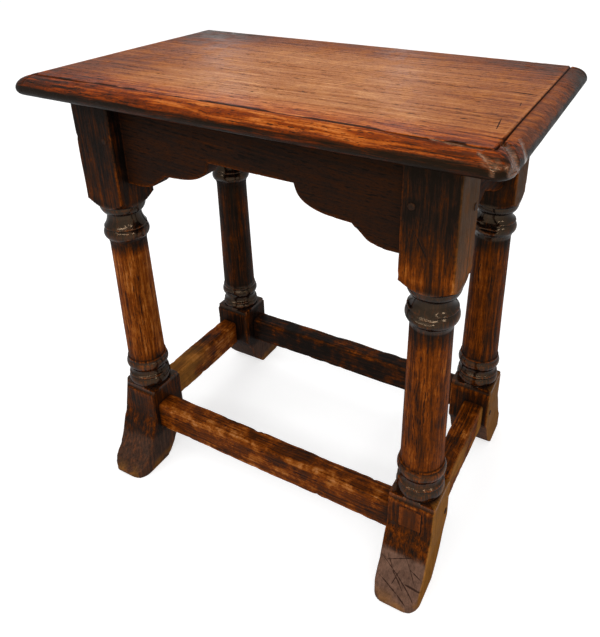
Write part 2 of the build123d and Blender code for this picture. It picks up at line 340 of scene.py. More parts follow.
def foot_faces(levels):
    """How far every leg's inner and outer faces stand from its axis, counted outwards."""
    surface = skins["leg_front_left"]
    x = (leg_low.x + leg_high.x) / 2 + beside_mortise
    axis_y = leg_high.y - leg_half
    faces = []
    for level in np.clip(levels, above_sole, None):
        outer = meet(surface, (x, -1, level), (0, 1, 0))
        inner = meet(surface, (x, 0, level), (0, -1, 0))
        faces.append((axis_y - inner.y, axis_y - outer.y))
    return np.array(faces).T


def turned_radii(name, axis, levels):
    """Radius that the lathe left at each height, and square_radius where it didn't reach."""
    x_side, y_side = corners[name]
    out = Vector((x_side, y_side, 0)).normalized()
    radii = []
    for level in levels:
        spot = Vector((axis[0], axis[1], min(max(level, MM), board_low.z - MM)))
        found = meet(skins["leg_" + name], spot + out * outside_leg, -out)
        radius = (found - spot).length
        radii.append(radius if radius < turned_limit else square_radius)
    return np.array(radii)


def arris_radii(levels, seed, least, more):
    """Radius of each worn corner at each level: least, and up to more, with a few nicks."""
    pick = np.random.default_rng(seed)
    radii = np.empty((len(levels), 4))
    for i in range(4):
        radii[:, i] = least + more * wave(levels, 30 * MM, seed + i)
        for _ in range(nicks):
            spot = pick.uniform(levels[0], levels[-1])
            wide, deep = pick.uniform(2, 5) * MM, pick.uniform(0.6, 2.4) * MM
            radii[:, i] += deep * np.exp(-((levels - spot) / wide) ** 2)
    return radii


def cut_round(ring, centre, radii):
    """Holds rings inside the lathe's radii, softened where the cut breaks out of the flat faces."""
    from_axis = np.linalg.norm(ring + centre, axis=2)
    soft = break_out * rise(radii - leg_half, 0, 2 * MM)[:, None]
    limit = radii[:, None] / np.maximum(from_axis, 1e-6)
    gap = (from_axis - radii[:, None]) / np.maximum(soft, 1e-7)
    eased = np.where(np.abs(gap) < 1, soft * (1 - np.abs(gap)) ** 2 / 4, 0)
    share = np.minimum(limit, 1) - eased / np.maximum(from_axis, 1e-6)
    return (ring + centre) * share[..., None]


def round_toe(ring, centre):
    """Draws the toe's corners in to arcs in plan, along lines from the middle of the section."""
    reach = ring - centre
    for side in (-1, 1):
        corner = np.array([side * (leg_half - toe_corner), toe_reach - toe_corner])
        over = (ring[..., 0] * side > corner[0] * side) & (ring[..., 1] > corner[1])
        over &= np.linalg.norm(ring - corner, axis=2) > toe_corner
        to_centre = centre - corner
        a = (reach ** 2).sum(2)
        b = 2 * (reach * to_centre).sum(2)
        c = (to_centre ** 2).sum(2) - toe_corner ** 2
        root = (-b + np.sqrt(np.maximum(b * b - 4 * a * c, 0))) / np.maximum(2 * a, 1e-12)
        ring = np.where(over[..., None], centre + reach * root[..., None], ring)
    return ring


def chip_block(rings, levels, axis):
    """Strikes the chip out of the front left leg's lower block."""
    out = np.array(chip_out)
    spot = np.array([axis[0] - leg_half + chip_in, axis[1] - leg_half + chip_back, chip_level])
    struck = (levels > chip_low) & (levels < chip_high)
    part = rings[struck]
    slice_off(part, out, spot @ out / np.linalg.norm(out))
    rings[struck] = part


def shape_leg(name, seed):
    """A leg as a loft: square blocks, turned column between them and a kicked foot."""
    x_side, y_side = corners[name]
    low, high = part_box("leg_" + name)
    inner_face = high.y if y_side < 0 else low.y
    axis = ((low.x + high.x) / 2, inner_face + y_side * leg_half)
    levels = leg_levels()
    inner, outer = foot_faces(levels)
    arrises = arris_radii(levels, seed, 1.5 * MM, 1.3 * MM)
    ring = rounded_rings(np.full(len(levels), leg_half), (outer - inner) / 2, arrises, 13, 6)
    centre = np.zeros_like(ring)
    centre[..., 1] = (inner + outer)[:, None] / 2
    ring = round_toe(cut_round(ring, centre, turned_radii(name, axis, levels)), centre)

    rings = np.empty(ring.shape[:2] + (3,))
    rings[..., 0] = axis[0] + x_side * ring[..., 0]
    rings[..., 1] = axis[1] + y_side * ring[..., 1]
    rings[..., 2] = levels[:, None]
    if name == "front_left":
        chip_block(rings, levels, axis)
    piece = build("worn_leg_" + name, *loft(rings))
    ripples = ((60 * MM, 0.45 * MM), (14 * MM, 0.08 * MM))
    weather(piece, seed, ripples, dents=((50, 4 * MM, 0.5 * MM),))
    return piece


# heights that a leg's colour is given at: foot, lower block, its shoulders, torus, lower ring,
# the column's foot and upper end, neck under the bead, main bead, collar, foot of the upper
# block, middle and top of it
tone_levels = np.array([25, 96, 105, 113, 138, 160, 285, 297, 313, 338, 356, 400, 460]) * MM
# these tones hold painted light too: the upper blocks darken towards the seat as painted shade, the
# back left leg is darker all over as painted shade, and the lower blocks' shoulders carry a painted
# highlight, most on the front right leg
leg_tones_and_shade = {
    "front_left": (0.20, 0.28, 0.30, 0.14, 0.16, 0.52, 0.58, 0.24, 0.10, 0.05, 0.22, 0.13, 0.09),
    "front_right": (0.26, 0.31, 0.40, 0.20, 0.22, 0.40, 0.42, 0.18, 0.10, 0.05, 0.42, 0.14, 0.09),
    "back_left": (0.14, 0.14, 0.12, 0.06, 0.06, 0.18, 0.20, 0.10, 0.04, 0.02, 0.08, 0.08, 0.06),
    "back_right": (0.28, 0.30, 0.30, 0.12, 0.14, 0.38, 0.40, 0.18, 0.08, 0.04, 0.20, 0.14, 0.09),
}
# how much painted light from the right lightens each leg's right-hand face, and how far shoes have
# bared each foot
leg_right_light = {"front_right": 1.0, "back_right": 0.7, "front_left": 0.0, "back_left": 0.0}
foot_bared = {"front_right": 1.0, "back_right": 0.7, "front_left": 0.3, "back_left": 0.3}


def leg_tone(name):
    """The colour of one leg, from its foot to the seat, with painted shade under the seat."""
    def tone(points):
        base = np.interp(points[:, 2], tone_levels, leg_tones_and_shade[name])
        base = base + 0.14 * (hills(points, 40 * MM, 5) - 0.5)
        if name == "front_right":
            # painted shade under the seat on the front right leg's upper block, but not on its
            # right-hand face
            painted_head_shade = 0.05 * rise(points[:, 2], 392 * MM, 420 * MM)
            return base - painted_head_shade * rise(leg_high_x - points[:, 0], 0.5 * MM, 2 * MM)
        return base
    return tone


def leg_gold_light_and_wear(name):
    """Painted light from the right turns the legs' right-hand faces pale gold; feet have worn the edge
    of the toes pale.
    """
    x_side, _ = corners[name]
    face = x_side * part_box("leg_" + name)[1 if x_side > 0 else 0].x

    def golden(points):
        level = points[:, 2]
        # painted light from the right, strongest on the lower block
        side = rise(points[:, 0], face - 2.0 * MM, face - 0.6 * MM) * leg_right_light[name]
        side = side * np.interp(level, (95 * MM, 125 * MM), (0.95, 0.25))
        ragged = rise(hills(points, 12 * MM, 8), 0.35, 0.6)
        toe = 0.5 * (1 - rise(level, 7 * MM, 15 * MM)) * ragged
        return np.maximum(side, toe)
    return golden


def leg_turned(points):
    """1 over the turned rings, which took the most polish, and 0 elsewhere."""
    level = points[:, 2]
    lower = rise(level, 103 * MM, 106 * MM) * (1 - rise(level, 142 * MM, 146 * MM))
    upper = rise(level, 303 * MM, 306 * MM) * (1 - rise(level, 345 * MM, 349 * MM))
    return lower + upper


def foot_bare(name):
    """The feet have lost their polish below a ragged line, the front right one the most."""
    def bare(points):
        line = 43 * MM + 10 * MM * (hills(points, 16 * MM, 9) - 0.5)
        return foot_bared[name] * (1 - rise(points[:, 2], line - 2 * MM, line + 4 * MM))
    return bare


# ================================================================ rails and stretchers
# axis is the way that a bar runs: X along the stool and Y across it
edge_step = 0.25 * MM               # between places where a rail's lower edge is measured
rail_gap = 1.25 * MM                # between rings of points along a rail
stretcher_gap = 3 * MM
below_rails = 0.25                  # a height under every rail, to look up from
tenon_half = 4.5 * MM               # half of a tenon's thickness
rail_tenon = (380 * MM, 455 * MM)   # heights of a rail tenon's lower and upper side
stretcher_tenon_shoulder = 4 * MM
outer_round, inner_round = 2.4 * MM, 1.3 * MM  # how round a rail's lower arrises are worn


def shoulder_of(axis):
    """How far from the stool's middle the bars that run along an axis meet the legs."""
    low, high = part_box("leg_front_right")
    return low.x if axis == 0 else -high.y


def side_of(low, high, other):
    """Which side of the stool a bar is on: 1 to the right or back, -1 to the left or front."""
    return 1 if low[other] + high[other] > 0 else -1


def add_tenons(points, faces, axis, reach, middle, heights):
    """Adds a hidden block at each end of a bar, from just inside its shoulder out to its reach."""
    other = 1 - axis
    inside_shoulder = shoulder_of(axis) - MM
    for end in (-1, 1):
        lowest, highest = [0, 0, heights[0]], [0, 0, heights[1]]
        lowest[axis], highest[axis] = sorted((end * inside_shoulder, end * reach))
        lowest[other], highest[other] = middle - tenon_half, middle + tenon_half
        more, quads = block(lowest, highest, len(points))
        points = np.concatenate((points, more))
        faces += quads
    return points, faces


def rail_edge(node, axis, places):
    """Height of a rail's lower edge at places along it."""
    low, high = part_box(node)
    middle = [(low[i] + high[i]) / 2 for i in range(3)]
    heights = []
    for spot in places:
        middle[axis] = spot
        heights.append(meet(skins[node], (middle[0], middle[1], below_rails), (0, 0, 1)).z)
    return np.array(heights)


def lifted(heights, amount, step):
    """The lower edge as a round-nosed cutter of radius amount leaves it, pushed in by its radius."""
    lifted_edge = heights + amount
    for k in range(1, int(amount / step) + 1):
        rise_here = sqrt(max(amount ** 2 - (k * step) ** 2, 0))
        left = np.concatenate((np.full(k, heights[0]), heights[:-k]))
        right = np.concatenate((heights[k:], np.full(k, heights[-1])))
        lifted_edge = np.maximum(lifted_edge, np.maximum(left, right) + rise_here)
    return lifted_edge


def edge_section(thick):
    """How deep in and how far up the lines round a rail's worn lower edge lie, from its outer face."""
    turn = np.linspace(0, pi / 2, 6)
    flat = np.array([0.3, 0.5, 0.7]) * thick
    depths = (outer_round * (1 - np.cos(turn)), flat, thick - inner_round * (1 - np.cos(turn[::-1])))
    lifts = (outer_round * (1 - np.sin(turn)), np.zeros(3), inner_round * (1 - np.sin(turn[::-1])))
    return np.concatenate(depths), np.concatenate(lifts)


def shape_rail(node, axis, seed):
    """A rail as a loft along its length, its cut lower edge worn round, with its hidden tenons."""
    low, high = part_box(node)
    other = 1 - axis
    side = side_of(low, high, other)
    outer_face = high[other] if side > 0 else low[other]
    thick = high[other] - low[other]
    shoulder = shoulder_of(axis)
    fine = np.arange(-shoulder + edge_step, shoulder, edge_step)
    edge = rail_edge(node, axis, fine)
    stations = np.linspace(fine[0], fine[-1], int(2 * shoulder / rail_gap))
    stations[0], stations[-1] = -shoulder, shoulder
    depths, lifts = edge_section(thick)
    lower = [np.interp(stations, fine, lifted(edge, lift, edge_step)) for lift in lifts]

    top = board_low.z
    outer_rows = np.array([1.0, 0.86, 0.72, 0.58, 0.46, 0.36, 0.27, 0.19, 0.12, 0.06, 0.025])
    inner_rows = outer_rows[::-2]
    columns = [(0.0, top - (top - lower[0]) * (1 - row)) for row in outer_rows]
    columns += zip(depths, lower)
    columns += [(thick, top - (top - lower[-1]) * (1 - row)) for row in inner_rows]
    rings = np.empty((len(stations), len(columns), 3))
    for k, (depth, heights) in enumerate(columns):
        rings[:, k, axis] = stations
        rings[:, k, other] = outer_face - side * depth
        rings[:, k, 2] = heights
    middle = outer_face - side * thick / 2
    reach = max(high[axis], -low[axis])
    piece = build("worn_" + node, *add_tenons(*loft(rings), axis, reach, middle, rail_tenon))
    ripples = ((70 * MM, 0.4 * MM), (16 * MM, 0.14 * MM))
    weather(piece, seed, ripples, dents=((30, 4 * MM, 0.4 * MM),))
    return piece


def rail_tone_and_shade(points):
    """Rails are nearly black: old polish, and painted shade under the seat, with slow random changes.
    """
    return 0.14 + 0.09 * (hills(points, 60 * MM, 3) - 0.5)


def shape_stretcher(node, axis, seed):
    """A stretcher as a loft along its length: a wavy bar with trodden top arrises."""
    low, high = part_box(node)
    other = 1 - axis
    shoulder = shoulder_of(axis)
    middle, middle_z = (low[other] + high[other]) / 2, (low.z + high.z) / 2
    half_thick, half_tall = (high[other] - low[other]) / 2, (high.z - low.z) / 2
    stations = np.linspace(-shoulder, shoulder, int(2 * shoulder / stretcher_gap))
    arrises = arris_radii(stations, seed, 1.6 * MM, 1.6 * MM)
    for top_corner in (0, 1):
        trodden = wave(stations, 26 * MM, seed + 11 + top_corner)
        arrises[:, top_corner] += 0.6 * MM + 3.0 * MM * trodden
    halves = [np.full(len(stations), half) for half in (half_thick, half_tall)]
    ring = rounded_rings(*halves, arrises, 6, 6)
    rings = np.empty(ring.shape[:2] + (3,))
    rings[..., axis] = stations[:, None]
    rings[..., other] = middle + side_of(low, high, other) * ring[..., 0]
    rings[..., 2] = middle_z + ring[..., 1]
    tenon = (low.z + stretcher_tenon_shoulder, high.z - stretcher_tenon_shoulder)
    piece = build("worn_" + node, *add_tenons(*loft(rings), axis, high[axis], middle, tenon))
    ripples = ((45 * MM, 0.8 * MM), (12 * MM, 0.25 * MM))
    weather(piece, seed, ripples, dents=((60, 5 * MM, 0.6 * MM),))
    return piece


stretcher_tones = {
    "front_stretcher": 0.47,
    "left_stretcher": 0.49,
    "right_stretcher": 0.50,
    "back_stretcher": 0.20,
}


def stretcher_gold_light_and_wear(points):
    """Painted light from the right turns the stretchers' right-hand sides pale gold, and the near end
    of the left one is pale gold too.
    """
    x, y = points[:, 0] / MM, points[:, 1] / MM
    left = (x < -168) * rise(-y, -25, 40) * 0.8
    # painted light from the right on the right stretcher's outer side
    right = rise(x, 192, 194.5) * 0.9
    return np.maximum(left, right) * rise(hills(points, 30 * MM, 12), 0.25, 0.5)


def stretcher_tone(node):
    """A stretcher's colour, mottled where shoes have rubbed the polish."""
    def tone(points):
        return stretcher_tones[node] + 0.16 * (hills(points, 30 * MM, 4) - 0.5)
    return tone


# ================================================================ seat
bead_width = 18 * MM
bead_narrowing = 4 * MM             # how much narrower the front bead is at its right-hand end
board_corner = 14 * MM              # radius of the board's corners in plan
bead_drop = 1.4 * MM                # how far the top of the bead lies under the field
bead_reach, bead_fall = 16 * MM, 11.6 * MM  # how far out and down its upper curve goes
under_reach = 8 * MM                # how far its lower curve goes back in
quirk_end = 1.9 * MM                # from the field's edge to where the bead starts
# (distance out from the field's edge, height under it) down the worn quirk, in mm
quirk_section = ((0.0, -0.2), (0.5, -0.55), (0.9, -1.2), (1.15, -1.95), (1.4, -1.95), (1.8, -1.25))
under_shares = (0.93, 0.8, 0.6, 0.35, 0.12)  # how far out the rings of points underneath lie
run_out_rings = slice(2, 24)        # rings from inside the quirk to just under the bead
run_out_depth, run_out_half_width = 1.5 * MM, 1.25 * MM
field_gap, edge_gap = 3.2 * MM, 1.2 * MM  # between points inside the field, and near its edges
edge_zone = 32 * MM
corner_steps = 18                   # parts of the arc round a corner
route_gap = 0.2 * MM                # points round a corner keep at least this far apart
half_long, half_deep = board_high.x, board_high.y
field_x, field_y = half_long - bead_width, half_deep - bead_width


def spaced(length):
    """Places from -length to +length, close together near both ends."""
    places = [0.0]
    while places[-1] < length:
        left = length - places[-1]
        places.append(places[-1] + (edge_gap if left < edge_zone else field_gap))
    places = np.array(places) * length / places[-1]
    return np.concatenate((-places[:0:-1], places))


def field_front(x):
    """The front edge of the field, which runs a little out of square."""
    return -field_y - bead_narrowing * (x + field_x) / (2 * field_x)


def corner_route(x_side, y_side, field_corner):
    """Points along the outer edge round one corner of the seat, the way the clock doesn't go."""
    bend = (x_side * (half_long - board_corner), y_side * (half_deep - board_corner))
    start_angle = {(1, -1): -90, (1, 1): 0, (-1, 1): 90, (-1, -1): 180}[(x_side, y_side)]
    turns = [radians(start_angle + 90 * k / corner_steps) for k in range(corner_steps + 1)]
    arc = [(bend[0] + board_corner * cos(a), bend[1] + board_corner * sin(a)) for a in turns]
    long_way = ((field_corner[0], y_side * half_deep), (x_side * half_long, field_corner[1]))
    first, last = long_way if x_side * y_side < 0 else long_way[::-1]
    near_first = [np.array(first) + (np.array(arc[0]) - first) * k / 3 for k in range(3)]
    near_last = [np.array(last) + (np.array(arc[-1]) - last) * k / 3 for k in (2, 1, 0)]
    route = near_first + arc + near_last
    kept = [np.array(route[0])]
    for spot in route[1:]:
        if np.linalg.norm(np.array(spot) - kept[-1]) > route_gap:
            kept.append(np.array(spot))
    kept[-1] = np.array(last)
    return kept


def seat_edges():
    """Matching points on the field's edge and on the outer edge, once round the seat.

    Also gives the field's places along x, and its shares of the way from front to back."""
    xs = spaced(field_x)
    shares = (spaced(field_y) / field_y + 1) / 2
    right, left = [field_front(x) + (field_y - field_front(x)) * shares for x in (field_x, -field_x)]
    sides = (
        ([(x, field_front(x)) for x in xs], [(x, -half_deep) for x in xs]),
        ([(field_x, y) for y in right], [(half_long, y) for y in right]),
        ([(x, field_y) for x in xs[::-1]], [(x, half_deep) for x in xs[::-1]]),
        ([(-field_x, y) for y in left[::-1]], [(-half_long, y) for y in left[::-1]]),
    )
    inner, outer = [], []
    for (side_in, side_out), (x_side, y_side) in zip(sides, ((1, -1), (1, 1), (-1, 1), (-1, -1))):
        corner = (x_side * field_x, field_front(x_side * field_x) if y_side < 0 else field_y)
        route = corner_route(x_side, y_side, corner)[1:-1]
        inner += side_in + [corner] * len(route)
        outer += side_out + route
    return np.array(inner), np.array(outer), xs, shares


def bead_section():
    """(distance out from the field's edge, height under the field) down the worn quirk and bead."""
    section = [(out * MM, height * MM) for out, height in quirk_section]
    bead_inner = bead_width - bead_reach
    for turn in np.linspace(10, 90, 14):
        out = bead_inner + bead_reach * sin(radians(turn))
        section.append((out, -bead_drop - bead_fall * (1 - cos(radians(turn)))))
    fall = board_high.z - board_low.z - bead_drop - bead_fall
    for turn in np.linspace(12, 90, 7):
        out = bead_width - under_reach * (1 - cos(radians(turn)))
        section.append((out, -bead_drop - bead_fall - fall * sin(radians(turn))))
    return section


def quirk_left(plan):
    """How much of the quirk is left at points round the field: rubbed away along the front."""
    x, y = plan[:, 0], plan[:, 1]
    front = 0.04 + 0.7 * (1 - rise(x, -180 * MM, -138 * MM)) + 0.5 * rise(x, 130 * MM, 165 * MM)
    right = 1.0 + 0.6 * rise(-y, 60 * MM, 125 * MM)
    back_or_left = 0.35
    elsewhere = np.where(x > field_x - MM, right, back_or_left)
    return np.where(y < field_front(x) + MM, front, elsewhere)


def run_quirks_out(rings):
    """The quirks run on across the beads at the corners, but not at the bruised one."""
    part = rings[run_out_rings]
    whole = (part[..., 0] < 0) | (part[..., 1] > 0)
    # the axis that a quirk lies across, where it lies, and its share of the depth
    lines = (
        (0, field_x, 1.0),
        (0, -field_x, 0.35),
        (1, field_y, 0.8),
        (1, field_front(part[..., 0]), 0.9),
    )
    for axis, line, strength in lines:
        off = np.abs(part[..., axis] - line)
        past = whole & (np.abs(part[..., 1 - axis]) > (field_y if axis == 0 else field_x))
        depth = run_out_depth * strength * np.clip(1 - off / run_out_half_width, 0, 1) * past
        part[..., 2] -= depth * (1 - rise(board_high.z - part[..., 2], 6 * MM, 14 * MM))


def shape_seat(seed):
    """The seat board: a worn field, a quirk, a thumb-moulded edge and a bruised front right corner."""
    inner, outer, xs, shares = seat_edges()
    around = len(inner)
    loops = [np.column_stack((inner, np.full(around, board_high.z)))]
    kept = quirk_left(inner)
    for out, height in bead_section():
        plan = inner + (outer - inner) * (out / bead_width)
        in_quirk = out < quirk_end
        smooth = (-bead_drop if in_quirk else height) * rise(out, 0, 9 * MM)
        depth = smooth + (height - smooth) * (kept if in_quirk else np.minimum(kept, 1))
        loops.append(np.column_stack((plan, board_high.z + depth)))
    under = loops[-1].copy()
    loops += [under * (share, share, 1) for share in under_shares]
    rings = np.array(loops)
    run_quirks_out(rings)

    count = rings.shape[0] * around
    faces = loft_faces(rings.shape[0], around)
    last = count - around
    middle = np.array([[0, 0, board_low.z]])
    faces += [(last + i, last + (i + 1) % around, count) for i in range(around)]

    # the field's own grid
    gx, gs = np.meshgrid(xs, shares)
    front = field_front(gx)
    grid = np.stack((gx, front + (field_y - front) * gs, np.full_like(gx, board_high.z)), 2)
    faces += loft_faces(grid.shape[0], grid.shape[1], count + 1, closed=False)
    points = np.concatenate((rings.reshape(-1, 3), middle, grid.reshape(-1, 3)))

    bruise_corner(points)
    piece = build("worn_seat_board", points, faces)
    ripples = ((110 * MM, 0.5 * MM), (22 * MM, 0.22 * MM))
    weather(piece, seed, ripples, dents=((90, 4 * MM, 0.45 * MM),))
    return piece


# planes that broke wood away at the front right corner: direction out, and a spot on the plane in mm
corner_breaks = (
    ((0.62, -0.62, 0.48), (236.5, -144.5, 479.8)),
    ((0.10, -0.80, 0.60), (218, -148.5, 479.8)),
    ((0.93, -0.36, 0.05), (241.8, -138, 472)),
)
bruise_x, bruise_y = 206 * MM, -108 * MM  # where the bruised corner begins
# gouges in the seat: start and end in mm, half width at each, and depth
gouges = (
    ((226, -118), (245, -143), 3.4, 6.2, 2.6),
    ((234, -103), (243.5, -117), 1.6, 2.6, 1.0),
    ((217, -143.5), (229, -149.5), 1.8, 2.4, 1.0),
    ((181, -136.6), (218, -139.4), 0.9, 1.7, 0.8),
)


def in_gouge(points, start, end, wide_start, wide_end):
    """How far inside a gouge each point is: 0 at its rim and 1 along its middle."""
    start, end = np.array(start) * MM, np.array(end) * MM
    path = end - start
    offset = points[:, :2] - start
    share = np.clip(offset @ path / (path @ path), 0, 1)
    off = np.linalg.norm(offset - share[:, None] * path, axis=1)
    return np.clip(1 - off / ((wide_start + (wide_end - wide_start) * share) * MM), 0, 1)


def near_bruise(points):
    """Which points lie at the bruised corner."""
    return (points[:, 0] > bruise_x) & (points[:, 1] < bruise_y)


def break_planes():
    """The planes that broke the corner: direction out, and distance from the origin."""
    planes = []
    for out, spot in corner_breaks:
        out = np.array(out) / np.linalg.norm(out)
        planes.append((out, np.array(spot) * MM @ out))
    return planes


def bruise_corner(points):
    """Breaks the front right corner of the seat back to a few facets and gouges the edge."""
    near = near_bruise(points)
    part = points[near]
    for out, limit in break_planes():
        slice_off(part, out, limit)
    points[near] = part
    top = points[:, 2] > board_low.z + 7 * MM
    for *gouge, depth in gouges:
        points[:, 2] -= top * depth * MM * rise(in_gouge(points, *gouge), 0, 0.6)


def corner_raw(points):
    """Where wood broke away or was gouged out."""
    raw = np.zeros(len(points))
    for out, limit in break_planes():
        off = np.abs(points @ out - limit)
        raw = np.maximum(raw, 0.7 * (1 - rise(off, 0.35 * MM, 0.9 * MM)))
    raw *= near_bruise(points)
    top = points[:, 2] > board_low.z + 5 * MM
    for *gouge, _ in gouges:
        raw = np.maximum(raw, rise(in_gouge(points, *gouge), 0.1, 0.45) * top)
    return raw


def seat_tone(points):
    """The seat is tan, redder along its front, and much darker under the bead, where shade is painted.
    """
    depth = (board_high.z - points[:, 2]) / MM
    x, y = points[:, 0] / MM, points[:, 1] / MM
    tone = 0.84 + 0.12 * (hills(points, 90 * MM, 2) - 0.5)
    # darker to the left, to the right and to the back
    tone -= 0.28 * rise(-x, 60, 200) + 0.14 * rise(x, 60, 225) + 0.28 * rise(y, 30, 150)
    # darker on the right-hand bead and along the front, but not on the front bead itself
    tone -= 0.12 * rise(x, 226, 230)
    tone -= 0.08 * rise(-y, 118, 140) - 0.06 * rise(-y, 142, 146) * rise(x, -60, 80)
    # darker down the bead, and much darker under it, a painted shade where the bead turns under
    tone -= 0.14 * rise(depth, 1.5, 6) + 0.42 * rise(depth, 7.5, 11.5)
    return tone


def seat_warm(points):
    """The polish is thick and orange along the front of the seat."""
    front = rise(-points[:, 1] / MM, 92, 132)
    return (0.85 * front + 0.15) * (0.85 + 0.4 * (hills(points, 26 * MM, 6) - 0.5))


# ================================================================ pegs and patch
peg_flats = 9
peg_sunk = 0.8 * MM                 # how far a peg that isn't proud lies under its packed head
# a peg's head: share of the full outline, and distance back from the tip in mm
peg_head = ((0.45, 0.0), (0.82, 0.12), (0.97, 0.45), (1.0, 1.2))
patch_end_round = 0.5 * MM          # how far the patch draws in at its upper and lower end


def peg_ring(u, v, radius, pick):
    """A shaved peg's outline about its axis: uneven flats round a circle."""
    spots = []
    start = pick.uniform(0, 2 * pi)
    for k in range(peg_flats):
        angle = start + 2 * pi * (k + pick.uniform(-0.2, 0.2)) / peg_flats
        reach = radius * pick.uniform(0.9, 1.0)
        spots.append(reach * (cos(angle) * u + sin(angle) * v))
    return np.array(spots)


def boxes_of_solids(node):
    """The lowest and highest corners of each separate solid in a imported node."""
    work = bmesh.new()
    work.from_mesh(nodes[node].data)
    bmesh.ops.remove_doubles(work, verts=work.verts, dist=0.01 * MM)
    left = set(work.verts)
    boxes = []
    while left:
        island, reach = set(), [min(left, key=lambda v: v.index)]
        while reach:
            vert = reach.pop()
            if vert not in island:
                island.add(vert)
                reach += [edge.other_vert(vert) for edge in vert.link_edges]
        left -= island
        places = np.array([v.co for v in island])
        boxes.append((places.min(0), places.max(0)))
    work.free()
    return boxes


def shape_pegs(node, seed, proud):
    """Pegs shaved by hand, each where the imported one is, with heads proud by the given amount."""
    pick = np.random.default_rng(seed)
    points, faces = np.zeros((0, 3)), []
    for low, high in boxes_of_solids(node):
        axis = int(np.argmax(high - low))
        middle = (low + high) / 2
        outward = 1 if axis == 2 or middle[axis] > 0 else -1
        head, tail = (high, low) if outward > 0 else (low, high)
        u, v = [np.eye(3)[i] for i in range(3) if i != axis]
        outline = peg_ring(u, v, (high - low)[(axis + 1) % 3] / 2, pick)
        rings = []
        for share, back in peg_head:
            spot = middle.copy()
            spot[axis] = head[axis] - outward * (back * MM + peg_sunk - proud)
            rings.append(spot + outline * share)
        spot = middle.copy()
        spot[axis] = tail[axis]
        rings.append(spot + outline)
        more, quads = loft(np.array(rings), len(points))
        points = np.concatenate((points, more))
        faces += quads
    return build("shaved_" + node, points, faces)


def shape_patch(seed):
    """The piece let into the front right foot, its edges a little rounded."""
    low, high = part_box("repair_patch")
    levels = np.linspace(low.z, high.z, 14)
    half_u = np.full(len(levels), (high.x - low.x) / 2)
    half_v = np.full(len(levels), (high.y - low.y) / 2)
    for end in (0, -1):
        half_u[end] -= patch_end_round
        half_v[end] -= patch_end_round
    arrises = arris_radii(levels, seed, 0.35 * MM, 0.25 * MM).clip(0, 0.9 * MM)
    ring = rounded_rings(half_u, half_v, arrises, 5, 4)
    rings = np.empty(ring.shape[:2] + (3,))
    rings[..., 0] = (low.x + high.x) / 2 + ring[..., 0]
    rings[..., 1] = (low.y + high.y) / 2 + ring[..., 1]
    rings[..., 2] = levels[:, None]
    piece = build("let_in_patch", *loft(rings))
    weather(piece, seed, ripples=((20 * MM, 0.12 * MM),), dents=((6, 3 * MM, 0.15 * MM),))
    return piece


# ================================================================ nodes for the finishes
class Bench:
    """Lays out the nodes of one finish or one group and joins them up."""

    def __init__(self, tree):
        self.tree = tree

    def add(self, kind, **settings):
        node = self.tree.nodes.new("ShaderNode" + kind)
        for name, value in settings.items():
            setattr(node, name, value)
        return node

    def feed(self, socket, value):
        if isinstance(value, bpy.types.NodeSocket):
            self.tree.links.new(value, socket)
        else:
            socket.default_value = value

    def maths(self, operation, *values, clamp=False):
        node = self.add("Math", operation=operation, use_clamp=clamp)
        for socket, value in zip(node.inputs, values):
            self.feed(socket, value)
        return node.outputs[0]

    def vector(self, operation, *values):
        node = self.add("VectorMath", operation=operation)
        for socket, value in zip(node.inputs, values):
            self.feed(socket, value)
        measure = operation in ("LENGTH", "DISTANCE", "DOT_PRODUCT")
        return node.outputs["Value" if measure else "Vector"]

    def ramp(self, value, low, high, start=0.0, end=1.0):
        """A smooth climb from start at low to end at high."""
        node = self.add("MapRange", interpolation_type="SMOOTHSTEP")
        for socket, given in zip(node.inputs, (value, low, high, start, end)):
            self.feed(socket, given)
        return node.outputs[0]

    def noise(self, where, scale, detail=2.0, rough=0.5, kind="Fac"):
        node = self.add("TexNoise")
        self.feed(node.inputs["Vector"], where)
        self.feed(node.inputs["Scale"], scale)
        node.inputs["Detail"].default_value = detail
        node.inputs["Roughness"].default_value = rough
        return node.outputs[kind]

    def cells(self, where, scale):
        node = self.add("TexVoronoi")
        self.feed(node.inputs["Vector"], where)
        self.feed(node.inputs["Scale"], scale)
        return node.outputs

    def mix(self, share, a, b):
        node = self.add("Mix")
        for socket, value in zip(node.inputs[:4], (share, None, a, b)):
            if value is not None:
                self.feed(socket, value)
        return node.outputs[0]

    def colour(self, share, a, b):
        node = self.add("Mix", data_type="RGBA")
        self.feed(node.inputs[0], share)
        self.feed(node.inputs[6], a)
        self.feed(node.inputs[7], b)
        return node.outputs[2]

    def noted(self, name, vector=False):
        """What age() has noted on the piece under this name."""
        node = self.add("Attribute", attribute_name=name)
        return node.outputs["Vector" if vector else "Fac"]

    def group(self, tree, **values):
        """Places a group; a value's name is its socket's, with _ for each space."""
        node = self.add("Group", node_tree=tree)
        for name, value in values.items():
            self.feed(node.inputs[name.replace("_", " ")], value)
        return node.outputs


def new_group(name, inputs, outputs):
    """An empty group with named sockets; gives its tree, its bench, its inputs and its outputs."""
    tree = bpy.data.node_groups.new(name, "ShaderNodeTree")
    for direction, sockets in (("INPUT", inputs), ("OUTPUT", outputs)):
        for title, kind in sockets:
            tree.interface.new_socket(title, in_out=direction, socket_type="NodeSocket" + kind)
    bench = Bench(tree)
    into = tree.nodes.new("NodeGroupInput")
    out = tree.nodes.new("NodeGroupOutput")
    return tree, bench, into.outputs, out.inputs


def paint(red, green, blue):
    """A colour given as 0 to 255 on screen, as the shaders take it."""
    def linear(level):
        share = level / 255
        return share / 12.92 if share <= 0.04045 else ((share + 0.055) / 1.055) ** 2.4
    return (linear(red), linear(green), linear(blue), 1.0)


